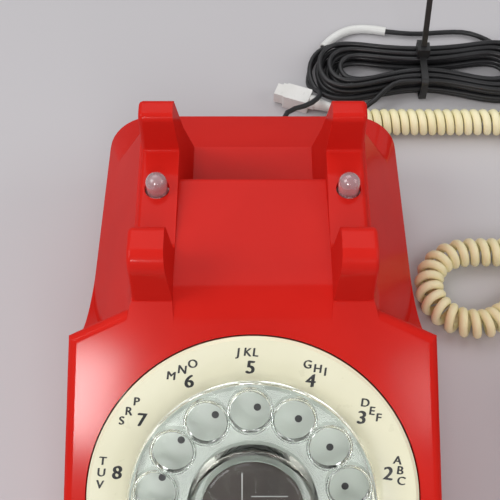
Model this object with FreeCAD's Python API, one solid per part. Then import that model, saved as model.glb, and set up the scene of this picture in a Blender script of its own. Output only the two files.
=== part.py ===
import FreeCAD, Part
import math
import os
from FreeCAD import Vector

# Rotary desk telephone with its handset lifted off and laid beside it.
# Millimetres. X points right, Y to the back, Z up. The origin is on the table under the middle of the base.

# Case: one moulding, a sloping dial box in front and a cradle with two rails behind
WALL = 2.6
CASE_FRONT_Y = -103.5
CASE_REAR_Y = 105.5
CASE_FRONT_HALF = 60.6
CASE_REAR_HALF = 55.4
CASE_FRONT_CORNER = 7.0
CASE_REAR_CORNER = 18.0
CASE_BOTTOM_Z = 4.6
WAIST_Z = 42.0
WALL_DRAFT = 0.04
EDGE_ROUND = 3.0

# Dial face: a plane that carries the dial, raised to the back
DIAL_TILT = 36.0
DIAL_Y = -57.0
DIAL_Z = 53.5
CREASE_OUTER_SLOPE = 50.0
CREASE_INNER_SLOPE = 62.0

# Cradle: rails, horns, bridge and the hand hold behind it
RAIL_TOP_Z = 90.0
RAIL_OUTER_X = 37.2
RAIL_INNER_X = 24.6
RAIL_INNER_DRAFT = 0.08
HORN_FRONT_Y = -6.6
HORN_FRONT_TOP_Z = 110.5
HORN_REAR_TOP_Z = 106.5
SADDLE_FRONT_Y = 15.0
SADDLE_REAR_Y = 47.0
BRIDGE_REAR_Y = 43.0
BRIDGE_REAR_Z = 86.0
BRIDGE_THICK = 8.0
BRIDGE_FALL = 0.113
BRIDGE_FRONT_ROUND = 26.0
DECK_Y = 78.0
DECK_Z = 57.0
HAND_HOLD_DEPTH = 17.0
HORN_ROUND = 1.6
BRIDGE_ROUND = 2.0
RAIL_STEP = 2.0

# Dial parts, measured along the dial's own axis from the face
RING_R = 51.5
RING_GAP = 0.5
RING_INNER_R = 37.0
WHEEL_R = 38.1
WHEEL_LOW = 5.0
WHEEL_THICK = 3.4
FINGER_HOLE_R = 6.2
FINGER_PITCH_R = 29.8
FINGER_HOLES = 10
FINGER_STEP = 26.2
FINGER_TOP = 91.5
HUB_R = 18.6
HUB_HEIGHT = 4.4
CARD_RISE = 2.0
CARD_R = 15.6
CARD_THICK = 0.5
COVER_THICK = 1.8
SPINDLE_R = 4.0
SPINDLE_DEPTH = 27.0
PLATE_BORE_R = 10.0
WHEEL_BORE_R = 2.0
WHEEL_SCREW_R = 4.0
STOP_ANGLE = -77.0
STOP_TIP_R = 24.0
FRAME_TOP = -8.0
FRAME_THICK = 2.0
FRAME_R = 51.4
RUNNING_FIT = 0.06
GEAR_TEETH = 48
PINION_TEETH = 12
GEAR_MODULE = 1.0
GEAR_LOW = -17.5
CAM_R = 9.0
PINION_X = -30.0
PINION_SHAFT_R = 1.5
WORM_WHEEL_TEETH = 24
WORM_WHEEL_R = 8.0
BRACKET_TOP = -20.0
BRACKET_LOW = -21.5
POST_R = 2.5
GOVERNOR_X = -41.3
GOVERNOR_H = -28.0
GOVERNOR_SHAFT_R = 0.8
GOVERNOR_CUP_R = 6.0
CUP_BACK_Y = 21.0
WORM_R = 2.2
SPRING_STEP = 2.4
SPRING_STRIP = 0.8
SPRING_OUTER_R = 12.0
DIAL_BOSS_R = 3.5
DIAL_FIXING_ANGLES = (90.0, 225.0, 315.0)
DIAL_SCREW_GRIP = 5.0

# Base, feet and fixings
BASE_THICK = 1.2
FOOT_R = 7.0
FOOT_HEIGHT = 5.0
FIT = 0.3
SCREW_R = 1.6
SCREW_HEAD_R = 3.2
SCREW_HEAD_H = 1.6
BOSS_R = 4.0
BASE_GAP = 0.5
BASE_RIM_H = 6.0
SCREW_GRIP = 8.0
BOSS_FRONT_X = 49.0
BOSS_FRONT_Y = -90.0
BOSS_REAR_X = 42.0
BOSS_REAR_Y = 90.0
FOOT_X = 44.0
FOOT_FRONT_Y = -76.0
FOOT_REAR_Y = 72.0
FOOT_PLUG_R = 2.5
BOARD_SPACER_R = 3.0
BOARD_Z = 10.0
BOARD_THICK = 1.6
BOARD_HALF = 46.0
BOARD_FRONT_Y = -32.0
BOARD_REAR_Y = -2.0

# Cradle switch: clear plungers on a yoke
PLUNGER_X = 31.3
PLUNGER_Y = 35.5
PLUNGER_R = 3.5
PLUNGER_HOLE_R = 4.1
PLUNGER_UP = 6.8
YOKE_Y = 10.0
YOKE_Z = 46.0
YOKE_PIN_R = 1.5
YOKE_TOP_Z = 49.2
YOKE_HALF = 36.0
PLUNGER_POCKET_R = 5.4
PLUNGER_ROOF = 3.5
SPRING_POST_X = 24.0
SPRING_POST_Y = 25.0
SPRING_SEAT_Z = 27.0
SPRING_WIRE_R = 0.5

# Ringer
GONG_R = 21.5
GONG_X = 25.6
GONG_Y = 64.0
GONG_RIM_Z = 13.0
GONG_TOP_Z = 29.0
GONG_WALL = 1.4
CLAPPER_Y = 36.0
CLAPPER_Z = 20.0
CLAPPER_BALL_R = 2.4
CLAPPER_PIN_R = 1.0
COIL_X = 9.0
COIL_FRONT_Y = 18.0
COIL_REAR_Y = 31.0

# Handset, face down on the table to the right of the base
HANDSET_SPAN = 160.0
HANDSET_FACE_TILT = 9.0
CAP_R = 28.5
CAP_HEIGHT = 13.0
CUP_R = 26.0
CUP_HEIGHT = 20.0
CUP_WALL = 2.4
HANDLE_HALF_WIDTH = 14.5
HANDLE_HALF_HEIGHT = 11.5
HANDLE_ARCH = 52.0
HANDSET_CLEAR = 0.3

# Cords
CURLY_WIRE_R = 1.5
CURLY_COIL_R = 4.35
CURLY_AXIS_Z = 6.2
CORD_R = 1.15
CORD_EXIT_Z = 18.0
HANDSET_CORD_X = 31.0
LINE_CORD_X = 12.0
GROMMET_NECK_R = 3.0
GROMMET_END_Y = 114.5
HANDSET_ENTRY_Z = 18.5
HANDSET_GROMMET = 8.0
HANK_X = 77.0
HANK_Y = 161.0
HANK_LOOPS = 11.77
HANK_LAY_Z = 1.35
SLEEVE_WALL = 0.9
HANK_RINGS = 2.5
HANK_REACH = 38.0
HANK_REACH_STEP = 5.4
HANK_WAIST = 1.5
HANK_WAIST_STEP = 3.75
HANK_LOBE = 8.0
HANK_LIFT = 1.7
LAYER_Z = 2.8
TIE_WIDTH = 3.0
TIE_THICK = 1.1

tilt = math.radians(DIAL_TILT)
FACE_UP = Vector(0, math.cos(tilt), math.sin(tilt))
FACE_OUT = Vector(0, -math.sin(tilt), math.cos(tilt))
DIAL_CENTRE = Vector(0, DIAL_Y, DIAL_Z)
BASE_TOP_Z = FOOT_HEIGHT + BASE_THICK


def face_point(slope, height):
    return DIAL_CENTRE + FACE_UP * slope + FACE_OUT * height


def on_dial(shape):
    placed = shape.copy()
    placed.rotate(Vector(0, 0, 0), Vector(1, 0, 0), DIAL_TILT)
    placed.translate(DIAL_CENTRE)
    return placed


def cylinder(radius, z_low, z_high, x=0, y=0):
    return Part.makeCylinder(radius, z_high - z_low, Vector(x, y, z_low))


def rod(radius, start, end):
    return Part.makeCylinder(radius, (end - start).Length, start, end - start)


def block(x_low, x_high, y_low, y_high, z_low, z_high):
    return Part.makeBox(x_high - x_low, y_high - y_low, z_high - z_low, Vector(x_low, y_low, z_low))


def fuse(shapes):
    return shapes[0].multiFuse(shapes[1:]).removeSplitter()


def turned(profile):
    points = [Vector(radius, 0, height) for radius, height in profile]
    face = Part.Face(Part.makePolygon(points + points[:1]))
    return face.revolve(Vector(0, 0, 0), Vector(0, 0, 1), 360)


def slab_in_x(profile, x_low, x_high):
    points = [Vector(x_low, y, z) for y, z in profile]
    face = Part.Face(Part.makePolygon(points + points[:1]))
    return face.extrude(Vector(x_high - x_low, 0, 0))


def corner_arc(before, corner, after, radius):
    to_before = (before - corner).normalize()
    to_after = (after - corner).normalize()
    half = to_before.getAngle(to_after) / 2
    reach = radius / math.tan(half)
    inward = (to_before + to_after).normalize()
    middle = corner + inward * (radius / math.sin(half) - radius)
    return corner + to_before * reach, middle, corner + to_after * reach


def rounded_outline(corners, radii):
    """Closed wire through corners, each rounded by its own radius."""
    count = len(corners)
    arcs = []
    for i in range(count):
        arcs.append(corner_arc(corners[i - 1], corners[i], corners[(i + 1) % count], radii[i]))
    edges = []
    for i in range(count):
        start, middle, end = arcs[i]
        edges.append(Part.Arc(start, middle, end).toShape())
        edges.append(Part.LineSegment(end, arcs[(i + 1) % count][0]).toShape())
    return Part.Wire(edges)


def rounded_prism(corners, radii, z_low, z_high):
    wire = rounded_outline([Vector(x, y, z_low) for x, y in corners], radii)
    return Part.Face(wire).extrude(Vector(0, 0, z_high - z_low))


def case_plan(z, inset):
    """Plan outline of the walls at a height; they lean in by the draft towards the top."""
    grow = (WAIST_Z - z) * WALL_DRAFT - inset
    front = CASE_FRONT_Y - grow
    rear = CASE_REAR_Y + grow
    corners = [
        Vector(-CASE_FRONT_HALF - grow, front, z),
        Vector(CASE_FRONT_HALF + grow, front, z),
        Vector(CASE_REAR_HALF + grow, rear, z),
        Vector(-CASE_REAR_HALF - grow, rear, z),
    ]
    radii = [CASE_FRONT_CORNER, CASE_FRONT_CORNER, CASE_REAR_CORNER, CASE_REAR_CORNER]
    return rounded_outline(corners, [radius - inset for radius in radii])


def dial_box(inset):
    """Front box: flat face up to the crease, then a hollow curve down to the waist behind it."""
    sections = []
    outer_x = CASE_FRONT_HALF + 2
    inner_x = RAIL_OUTER_X - inset
    for x in (-outer_x, -inner_x, inner_x, outer_x):
        outer = abs(x) == outer_x
        slope = (CREASE_OUTER_SLOPE if outer else CREASE_INNER_SLOPE) - inset
        crease = face_point(slope, -inset)
        foot = face_point(-90, -inset)
        tail_y = (27 if outer else 32) - inset
        sag = Vector(0, (crease.y + tail_y) / 2 - 6, (crease.z + WAIST_Z - inset) / 2 - 7)
        points = [foot, crease, Vector(0, tail_y, WAIST_Z - inset), Vector(0, tail_y, -9), Vector(0, foot.y, -9)]
        points = [Vector(x, p.y, p.z) for p in points]
        sag = Vector(x, sag.y, sag.z)
        edges = [Part.LineSegment(points[0], points[1]).toShape()]
        edges.append(Part.Arc(points[1], sag, points[2]).toShape())
        edges.append(Part.LineSegment(points[2], points[3]).toShape())
        edges.append(Part.LineSegment(points[3], points[4]).toShape())
        edges.append(Part.LineSegment(points[4], points[0]).toShape())
        sections.append(Part.Wire(edges))
    return Part.makeLoft(sections, True, True)


def cradle_block(inset):
    """Block under the rails: steep sides, a shallow deck at the back and a steeper back above it."""
    spread = 52.0
    side_slope = (CASE_REAR_HALF - RAIL_OUTER_X) / (RAIL_TOP_Z - WAIST_Z)
    deck_slope = (CASE_REAR_Y - DECK_Y) / (DECK_Z - WAIST_Z)
    front = -20.0
    flare = CASE_FRONT_HALF - CASE_REAR_HALF
    flare = flare * (CASE_REAR_Y - front) / (CASE_REAR_Y - CASE_FRONT_Y) / (RAIL_TOP_Z - WAIST_Z)
    rows = [
        (WAIST_Z - spread, CASE_REAR_HALF + spread * side_slope, CASE_REAR_Y + spread * deck_slope, 30.0),
        (DECK_Z, CASE_REAR_HALF - (DECK_Z - WAIST_Z) * side_slope, DECK_Y, 9.0),
        (RAIL_TOP_Z, RAIL_OUTER_X, DECK_Y - 15.0, 4.0),
    ]
    sections = []
    for z, half, rear, radius in rows:
        half_in = half - inset * 1.1
        half_front = half_in + flare * (RAIL_TOP_Z - z)
        corners = [
            Vector(-half_front, front, z),
            Vector(half_front, front, z),
            Vector(half_in, rear - inset * 1.6, z),
            Vector(-half_in, rear - inset * 1.6, z),
        ]
        sections.append(rounded_outline(corners, [1.0, 1.0, radius, radius]))
    return Part.makeLoft(sections, True, True)


def above_face(inset):
    reach = 200.0
    cutter = block(-reach, reach, -reach, reach, -inset, reach)
    return on_dial(cutter)


def case_form(inset):
    """Closed outer form of the case without rails; an inset gives the inside of its wall."""
    walls = Part.makeLoft([case_plan(CASE_BOTTOM_Z - inset, inset), case_plan(RAIL_TOP_Z + 9, inset)], True, True)
    upper = dial_box(inset).fuse(cradle_block(inset))
    lid = block(-90, 90, -150, 150, RAIL_TOP_Z - inset, RAIL_TOP_Z + 40)
    return walls.common(upper).cut(above_face(inset)).cut(lid)


def horn_profile():
    """Side outline of a rail: front horn, saddle, rear horn."""
    low = RAIL_TOP_Z - 8
    front = HORN_FRONT_Y
    top = HORN_FRONT_TOP_Z
    rear_top = HORN_REAR_TOP_Z
    rail = RAIL_TOP_Z
    saddle_f = SADDLE_FRONT_Y
    saddle_r = SADDLE_REAR_Y
    p = [
        (front, low), (front + 0.6, top - 6.5), (front + 2.5, top - 1.9), (front + 7, top),
        (front + 12, top), (front + 14.2, top - 1), (front + 15.2, top - 3.2),
        (saddle_f - 4.5, rail + 4), (saddle_f - 3.2, rail + 1.2), (saddle_f, rail),
        (saddle_r + 2.9, rail), (saddle_r + 3.75, rail + 0.35), (saddle_r + 4.1, rail + 1.2),
        (saddle_r + 4.6, rear_top - 2.6), (saddle_r + 5.4, rear_top - 0.8), (saddle_r + 7.2, rear_top),
        (saddle_r + 10.6, rear_top), (saddle_r + 12.2, rear_top - 0.7), (saddle_r + 13, rear_top - 2.2),
        (DECK_Y - 15 + 3.4, low),
    ]
    p = [Vector(0, y, z) for y, z in p]
    edges = [
        Part.LineSegment(p[0], p[1]).toShape(),
        Part.Arc(p[1], p[2], p[3]).toShape(),
        Part.LineSegment(p[3], p[4]).toShape(),
        Part.Arc(p[4], p[5], p[6]).toShape(),
        Part.LineSegment(p[6], p[7]).toShape(),
        Part.Arc(p[7], p[8], p[9]).toShape(),
        Part.LineSegment(p[9], p[10]).toShape(),
        Part.Arc(p[10], p[11], p[12]).toShape(),
        Part.LineSegment(p[12], p[13]).toShape(),
        Part.Arc(p[13], p[14], p[15]).toShape(),
        Part.LineSegment(p[15], p[16]).toShape(),
        Part.Arc(p[16], p[17], p[18]).toShape(),
        Part.LineSegment(p[18], p[19]).toShape(),
        Part.LineSegment(p[19], p[0]).toShape(),
    ]
    return Part.Wire(edges)


def channel():
    """Space between the rails: over the bridge, and down to the deck behind it."""
    spread = 200.0
    rise = math.tan(tilt)
    apex_y = BRIDGE_REAR_Z + BRIDGE_FALL * BRIDGE_REAR_Y - DIAL_Z + rise * DIAL_Y
    apex_y = apex_y / (rise + BRIDGE_FALL)
    apex = Vector(-50, apex_y, DIAL_Z + (apex_y - DIAL_Y) * rise)
    foot = Vector(-50, apex.y - 40, apex.z - 40 * rise)
    rear = Vector(-50, BRIDGE_REAR_Y, BRIDGE_REAR_Z)
    start, middle, end = corner_arc(foot, apex, rear, BRIDGE_FRONT_ROUND)
    above = [rear, Vector(-50, rear.y, spread), Vector(-50, foot.y, spread), foot]
    edges = [Part.LineSegment(foot, start).toShape(), Part.Arc(start, middle, end).toShape()]
    edges.append(Part.LineSegment(end, rear).toShape())
    edges += [Part.LineSegment(a, b).toShape() for a, b in zip(above, above[1:])]
    over_bridge = Part.Face(Part.Wire(edges)).extrude(Vector(100, 0, 0))
    behind = slab_in_x([
        (BRIDGE_REAR_Y - HAND_HOLD_DEPTH, DECK_Z), (DECK_Y, DECK_Z), (DECK_Y + 60, DECK_Z - 20),
        (DECK_Y + 60, spread), (BRIDGE_REAR_Y, spread), (BRIDGE_REAR_Y, BRIDGE_REAR_Z - BRIDGE_THICK),
        (BRIDGE_REAR_Y - HAND_HOLD_DEPTH, BRIDGE_REAR_Z - BRIDGE_THICK - 3)], -50, 50)
    low = 30.0
    high = 130.0
    half_low = RAIL_INNER_X - (RAIL_TOP_Z - low) * RAIL_INNER_DRAFT
    half_high = RAIL_INNER_X + (high - RAIL_TOP_Z) * RAIL_INNER_DRAFT
    points = [Vector(-half_low, 0, low), Vector(half_low, 0, low), Vector(half_high, 0, high), Vector(-half_high, 0, high)]
    gauge = Part.Face(Part.makePolygon(points + points[:1])).extrude(Vector(0, 300, 0))
    gauge.translate(Vector(0, -100, 0))
    return over_bridge.fuse(behind).common(gauge)


def hand_hold_wall():
    """Space that the hand hold and the wall round it keep free of the case's inside."""
    front = BRIDGE_REAR_Y - HAND_HOLD_DEPTH - WALL
    half = RAIL_INNER_X + WALL
    return block(-half, half, front, DECK_Y - WALL, DECK_Z - WALL, RAIL_TOP_Z + WALL)


def boss_places():
    return [(-BOSS_FRONT_X, BOSS_FRONT_Y), (BOSS_FRONT_X, BOSS_FRONT_Y),
            (-BOSS_REAR_X, BOSS_REAR_Y), (BOSS_REAR_X, BOSS_REAR_Y)]


def dial_fixing_places():
    radius = RING_R + RING_GAP + DIAL_BOSS_R
    return [(radius * math.cos(math.radians(a)), radius * math.sin(math.radians(a))) for a in DIAL_FIXING_ANGLES]


def edges_where(shape, test):
    return [edge for edge in shape.Edges if test(edge)]


def face_height(point):
    return (point - DIAL_CENTRE).dot(FACE_OUT)


def on_face_rim(edge):
    """Edges of the sloping dial face, apart from those under the horns and the brow of the bridge."""
    middle = edge.valueAt((edge.FirstParameter + edge.LastParameter) / 2)
    if max(abs(face_height(v.Point)) for v in edge.Vertexes) > 0.05 or abs(face_height(middle)) > 0.05:
        return False
    return abs(middle.x) > RAIL_OUTER_X + 0.5 or middle.y < CASE_FRONT_Y + 20


def on_waist(edge):
    middle = edge.valueAt((edge.FirstParameter + edge.LastParameter) / 2)
    return abs(middle.z - WAIST_Z) < 3.0 and middle.y > 32 and all(abs(v.Point.z - WAIST_Z) < 6 for v in edge.Vertexes)


def on_rail(edge):
    middle = edge.valueAt((edge.FirstParameter + edge.LastParameter) / 2)
    return middle.z > RAIL_TOP_Z - 0.4 and abs(abs(middle.x) - RAIL_OUTER_X) < 0.02


def on_bridge_edge(edge):
    middle = edge.valueAt((edge.FirstParameter + edge.LastParameter) / 2)
    return abs(middle.x) < 1 and abs(middle.y - BRIDGE_REAR_Y) < 0.5 and abs(middle.z - BRIDGE_REAR_Z) < 0.5


def case():
    body = case_form(0)
    body = body.makeFillet(EDGE_ROUND, edges_where(body, on_face_rim) + edges_where(body, on_waist))
    body = body.cut(block(-90, 90, SADDLE_FRONT_Y - 8, 150, RAIL_TOP_Z - RAIL_STEP, RAIL_TOP_Z + 40))
    rails = Part.Face(horn_profile()).extrude(Vector(2 * RAIL_OUTER_X, 0, 0))
    rails.translate(Vector(-RAIL_OUTER_X, 0, 0))
    rails = rails.makeFillet(HORN_ROUND, edges_where(rails, on_rail))
    body = body.fuse(rails).removeSplitter().cut(channel())
    body = body.makeFillet(BRIDGE_ROUND, edges_where(body, on_bridge_edge))
    shell = body.cut(case_form(WALL).cut(hand_hold_wall()))
    bosses = [cylinder(BOSS_R, BASE_TOP_Z, RAIL_TOP_Z, x, y) for x, y in boss_places()]
    bosses += [on_dial(cylinder(DIAL_BOSS_R, FRAME_TOP, -WALL / 2, x, y)) for x, y in dial_fixing_places()]
    solid_form = case_form(WALL / 2)
    shell = fuse([shell] + [boss.common(solid_form) for boss in bosses])
    holes = [on_dial(cylinder(RING_R + RING_GAP, FRAME_TOP, 20))]
    for x, y in boss_places():
        holes.append(cylinder(SCREW_R + 0.1, 0, BASE_TOP_Z + SCREW_GRIP + 1, x, y))
    for x, y in dial_fixing_places():
        holes.append(on_dial(cylinder(SCREW_R + 0.1, FRAME_TOP - 1, -WALL - 0.4, x, y)))
    for side in (-1, 1):
        x = side * PLUNGER_X
        holes.append(cylinder(PLUNGER_POCKET_R, DECK_Z, RAIL_TOP_Z - PLUNGER_ROOF, x, PLUNGER_Y))
        holes.append(cylinder(PLUNGER_HOLE_R, DECK_Z, RAIL_TOP_Z + 5, x, PLUNGER_Y))
    for x in (HANDSET_CORD_X, LINE_CORD_X):
        holes.append(rod(GROMMET_NECK_R + 0.1, Vector(x, CASE_REAR_Y - 9, CORD_EXIT_Z), Vector(x, CASE_REAR_Y + 9, CORD_EXIT_Z)))
    return shell.cut(fuse(holes[:1])).cut(Part.makeCompound(holes[1:]))


def base_plate():
    edge = WALL + BASE_GAP
    plate = Part.Face(case_plan(FOOT_HEIGHT, edge)).extrude(Vector(0, 0, BASE_THICK))
    rim = Part.Face(case_plan(FOOT_HEIGHT, edge)).extrude(Vector(0, 0, BASE_RIM_H))
    rim = rim.cut(Part.Face(case_plan(FOOT_HEIGHT, edge + BASE_THICK)).extrude(Vector(0, 0, BASE_RIM_H)))
    spacers = [cylinder(BOARD_SPACER_R, BASE_TOP_Z, BOARD_Z, x, y) for x, y in board_corners()]
    plate = fuse([plate, rim] + spacers)
    holes = [cylinder(SCREW_R + FIT, 0, BASE_TOP_Z, x, y) for x, y in boss_places()]
    holes += [cylinder(FOOT_PLUG_R + 0.02, 0, BASE_TOP_Z, x, y) for x, y in foot_places()]
    return plate.cut(Part.makeCompound(holes))


def foot_places():
    corners = [(-FOOT_X, FOOT_FRONT_Y), (FOOT_X, FOOT_FRONT_Y), (-FOOT_X, FOOT_REAR_Y), (FOOT_X, FOOT_REAR_Y)]
    return corners + [(0, 0)]


def feet():
    solids = []
    for x, y in foot_places():
        foot = turned([(0, 0), (FOOT_R - 1.2, 0), (FOOT_R, 1.2), (FOOT_R, FOOT_HEIGHT),
                       (FOOT_PLUG_R, FOOT_HEIGHT), (FOOT_PLUG_R, BASE_TOP_Z), (0, BASE_TOP_Z)])
        foot.translate(Vector(x, y, 0))
        solids.append(foot)
    return Part.makeCompound(solids)


def screw(x, y, seat_z, grip):
    """Pan-head screw that comes up from below and seats its head at a height."""
    head = cylinder(SCREW_HEAD_R, seat_z - SCREW_HEAD_H, seat_z, x, y)
    slot = block(x - SCREW_HEAD_R, x + SCREW_HEAD_R, y - 0.4, y + 0.4, seat_z - SCREW_HEAD_H, seat_z - SCREW_HEAD_H + 0.8)
    return head.cut(slot).fuse(cylinder(SCREW_R, seat_z, seat_z + grip, x, y)).removeSplitter()


def case_screws():
    return Part.makeCompound([screw(x, y, FOOT_HEIGHT, BASE_THICK + SCREW_GRIP) for x, y in boss_places()])


def number_ring():
    """Cream ring with the numbers: dished towards the wheel, with a skirt that stands on the dial frame."""
    ring = turned([(RING_INNER_R, -2.2), (RING_INNER_R, -1.0), (RING_INNER_R + 6.5, 0.3), (RING_R - 1.0, 1.0),
                   (RING_R, 0.2), (RING_R, FRAME_TOP), (RING_R - 2, FRAME_TOP), (RING_R - 2, -2.2)])
    return on_dial(ring)


def dial_plate():
    """Pale pan under the finger wheel, standing on the dial frame."""
    radius = RING_INNER_R - FIT
    pan = turned([(PLATE_BORE_R, -3.4), (PLATE_BORE_R, -2.2), (radius, -2.2), (radius, FRAME_TOP),
                  (radius - 1.2, FRAME_TOP), (radius - 1.2, -3.4)])
    return on_dial(pan)


def dial_frame():
    low = FRAME_TOP - FRAME_THICK
    plate = cylinder(FRAME_R, low, FRAME_TOP)
    tube = cylinder(SPINDLE_R + 3, low - 2, FRAME_TOP + 3)
    ears = [cylinder(DIAL_BOSS_R + 1, low, FRAME_TOP, x, y) for x, y in dial_fixing_places()]
    posts = [cylinder(POST_R, BRACKET_TOP, low, x, y) for x, y in bracket_posts()]
    frame = fuse([plate, tube] + ears + posts)
    holes = [cylinder(SPINDLE_R + RUNNING_FIT, -60, 20)]
    holes += [cylinder(SCREW_R + FIT, -60, 20, x, y) for x, y in dial_fixing_places()]
    holes.append(cylinder(PINION_SHAFT_R + RUNNING_FIT, -60, 20, PINION_X, 0))
    return on_dial(frame.cut(Part.makeCompound(holes)))


def dial_screws():
    seat = FRAME_TOP - FRAME_THICK
    return on_dial(Part.makeCompound([screw(x, y, seat, DIAL_SCREW_GRIP) for x, y in dial_fixing_places()]))


def finger_angles():
    """Directions of the holes from 1 round to 0, anticlockwise, with 5 at the top."""
    return [FINGER_TOP + FINGER_STEP * (i - 4) for i in range(FINGER_HOLES)]


def finger_wheel():
    """Clear wheel with a turned-down rim, ten finger holes and a raised hub round the card."""
    top = WHEEL_LOW + WHEEL_THICK
    floor = top + CARD_RISE
    wheel = turned([(WHEEL_BORE_R, WHEEL_LOW), (WHEEL_R - 1.2, WHEEL_LOW), (WHEEL_R - 1.2, WHEEL_LOW - 2.6),
                    (WHEEL_R, WHEEL_LOW - 2.6), (WHEEL_R, top - 1.2), (WHEEL_R - 1.2, top), (HUB_R + 1.4, top),
                    (HUB_R, top + HUB_HEIGHT - 0.8), (HUB_R - 0.8, top + HUB_HEIGHT),
                    (CARD_R + 0.3, top + HUB_HEIGHT), (CARD_R + 0.1, floor),
                    (WHEEL_SCREW_R + 0.3, floor), (WHEEL_SCREW_R + 0.3, floor - 1.6), (WHEEL_BORE_R, floor - 1.6)])
    holes = []
    for angle in finger_angles():
        x = FINGER_PITCH_R * math.cos(math.radians(angle))
        y = FINGER_PITCH_R * math.sin(math.radians(angle))
        low = WHEEL_LOW + 0.9
        hole = turned([(0, 0), (FINGER_HOLE_R, 0), (FINGER_HOLE_R, low), (FINGER_HOLE_R, top - 0.4),
                       (FINGER_HOLE_R + 0.5, top + 0.1), (0, top + 0.1)])
        hole.translate(Vector(x, y, 0))
        holes.append(hole)
    return on_dial(wheel.cut(Part.makeCompound(holes)))


def label_card():
    low = WHEEL_LOW + WHEEL_THICK + CARD_RISE
    return on_dial(cylinder(CARD_R, low, low + CARD_THICK))


def label_cover():
    low = WHEEL_LOW + WHEEL_THICK + CARD_RISE + CARD_THICK
    high = low + COVER_THICK
    return on_dial(turned([(0, low), (CARD_R, low), (CARD_R, high - 0.6), (CARD_R - 0.9, high), (0, high)]))


def wheel_screw():
    seat = WHEEL_LOW + WHEEL_THICK + CARD_RISE - 1.6
    head = cylinder(WHEEL_SCREW_R, seat, seat + 1.5)
    slot = block(-WHEEL_SCREW_R, WHEEL_SCREW_R, -0.5, 0.5, seat + 0.8, seat + 1.5)
    return on_dial(head.cut(slot).fuse(cylinder(WHEEL_BORE_R - 0.1, seat - 8, seat)).removeSplitter())


def main_spindle():
    flange = cylinder(PLATE_BORE_R - 1.2, WHEEL_LOW - 2.6, WHEEL_LOW)
    shaft = cylinder(SPINDLE_R, -SPINDLE_DEPTH, WHEEL_LOW)
    return on_dial(flange.fuse(shaft).removeSplitter().cut(cylinder(WHEEL_BORE_R, WHEEL_LOW - 9, WHEEL_LOW)))


def finger_stop():
    """Plated hook that stands on the number ring and reaches in over the wheel."""
    low = WHEEL_LOW + WHEEL_THICK + 0.9
    foot_r = RING_INNER_R + 6.5
    arm = rounded_prism([(STOP_TIP_R, -2.2), (foot_r + 3, -3.0), (foot_r + 3, 3.0), (STOP_TIP_R, 2.2)],
                        [2.0, 2.4, 2.4, 2.0], low, low + 1.5)
    post = rounded_prism([(foot_r - 1, -3.0), (foot_r + 3, -3.0), (foot_r + 3, 3.0), (foot_r - 1, 3.0)],
                         [1.0, 2.4, 2.4, 1.0], 1.1, low)
    hook = arm.fuse(post).removeSplitter()
    hook.rotate(Vector(0, 0, 0), Vector(0, 0, 1), STOP_ANGLE)
    return on_dial(hook)


def toothed_wheel(teeth, pitch_r, z_low, z_high, phase):
    """Spur wheel with plain tapered teeth, narrow enough to run with backlash."""
    root = pitch_r - 1.1 * GEAR_MODULE
    tip = pitch_r + 0.8 * GEAR_MODULE
    step = 360.0 / teeth
    outline = []
    for i in range(teeth):
        middle = phase + i * step
        for radius, share in ((root, -0.25), (tip, -0.10), (tip, 0.10), (root, 0.25)):
            angle = math.radians(middle + share * step)
            outline.append(Vector(radius * math.cos(angle), radius * math.sin(angle), z_low))
    face = Part.Face(Part.makePolygon(outline + outline[:1]))
    return face.extrude(Vector(0, 0, z_high - z_low))


def main_gear():
    wheel = toothed_wheel(GEAR_TEETH, GEAR_TEETH * GEAR_MODULE / 2, GEAR_LOW, GEAR_LOW + 2, 0)
    windows = []
    for i in range(4):
        window = cylinder(5, GEAR_LOW, GEAR_LOW + 2, 14)
        window.rotate(Vector(0, 0, 0), Vector(0, 0, 1), 45 + 90 * i)
        windows.append(window)
    return on_dial(wheel.cut(Part.makeCompound(windows + [cylinder(SPINDLE_R, GEAR_LOW, GEAR_LOW + 2)])))


def impulse_cam():
    low = GEAR_LOW + 2
    cam = toothed_wheel(FINGER_HOLES, CAM_R, low, low + 1.6, 0)
    return on_dial(cam.cut(cylinder(SPINDLE_R, low, low + 1.6)))


def pinion_shaft():
    """Steel shaft with the pinion above the bracket and the worm wheel below it."""
    pinion = toothed_wheel(PINION_TEETH, PINION_TEETH * GEAR_MODULE / 2, GEAR_LOW - 0.5, GEAR_LOW + 2.5, 360.0 / PINION_TEETH / 2)
    wheel = toothed_wheel(WORM_WHEEL_TEETH, WORM_WHEEL_R, GOVERNOR_H - 1.2, GOVERNOR_H + 1.2, 0)
    shaft = cylinder(PINION_SHAFT_R, GOVERNOR_H - 2.5, FRAME_TOP - 0.2)
    whole = fuse([shaft, pinion, wheel])
    whole.translate(Vector(PINION_X, 0, 0))
    return on_dial(whole)


def governor_shaft():
    start = Vector(GOVERNOR_X, -13, GOVERNOR_H)
    end = Vector(GOVERNOR_X, 24, GOVERNOR_H)
    shaft = rod(GOVERNOR_SHAFT_R, start, end)
    worm = rod(WORM_R, Vector(GOVERNOR_X, -7, GOVERNOR_H), Vector(GOVERNOR_X, 7, GOVERNOR_H))
    arm = block(GOVERNOR_X - 4, GOVERNOR_X + 4, 13, 14.5, GOVERNOR_H - 1.2, GOVERNOR_H + 1.2)
    weights = [block(GOVERNOR_X + x - 1, GOVERNOR_X + x + 1, 13, 18.5, GOVERNOR_H - 1.2, GOVERNOR_H + 1.2)
               for x in (-3.0, 3.0)]
    return on_dial(fuse([shaft, worm, arm] + weights))


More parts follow.
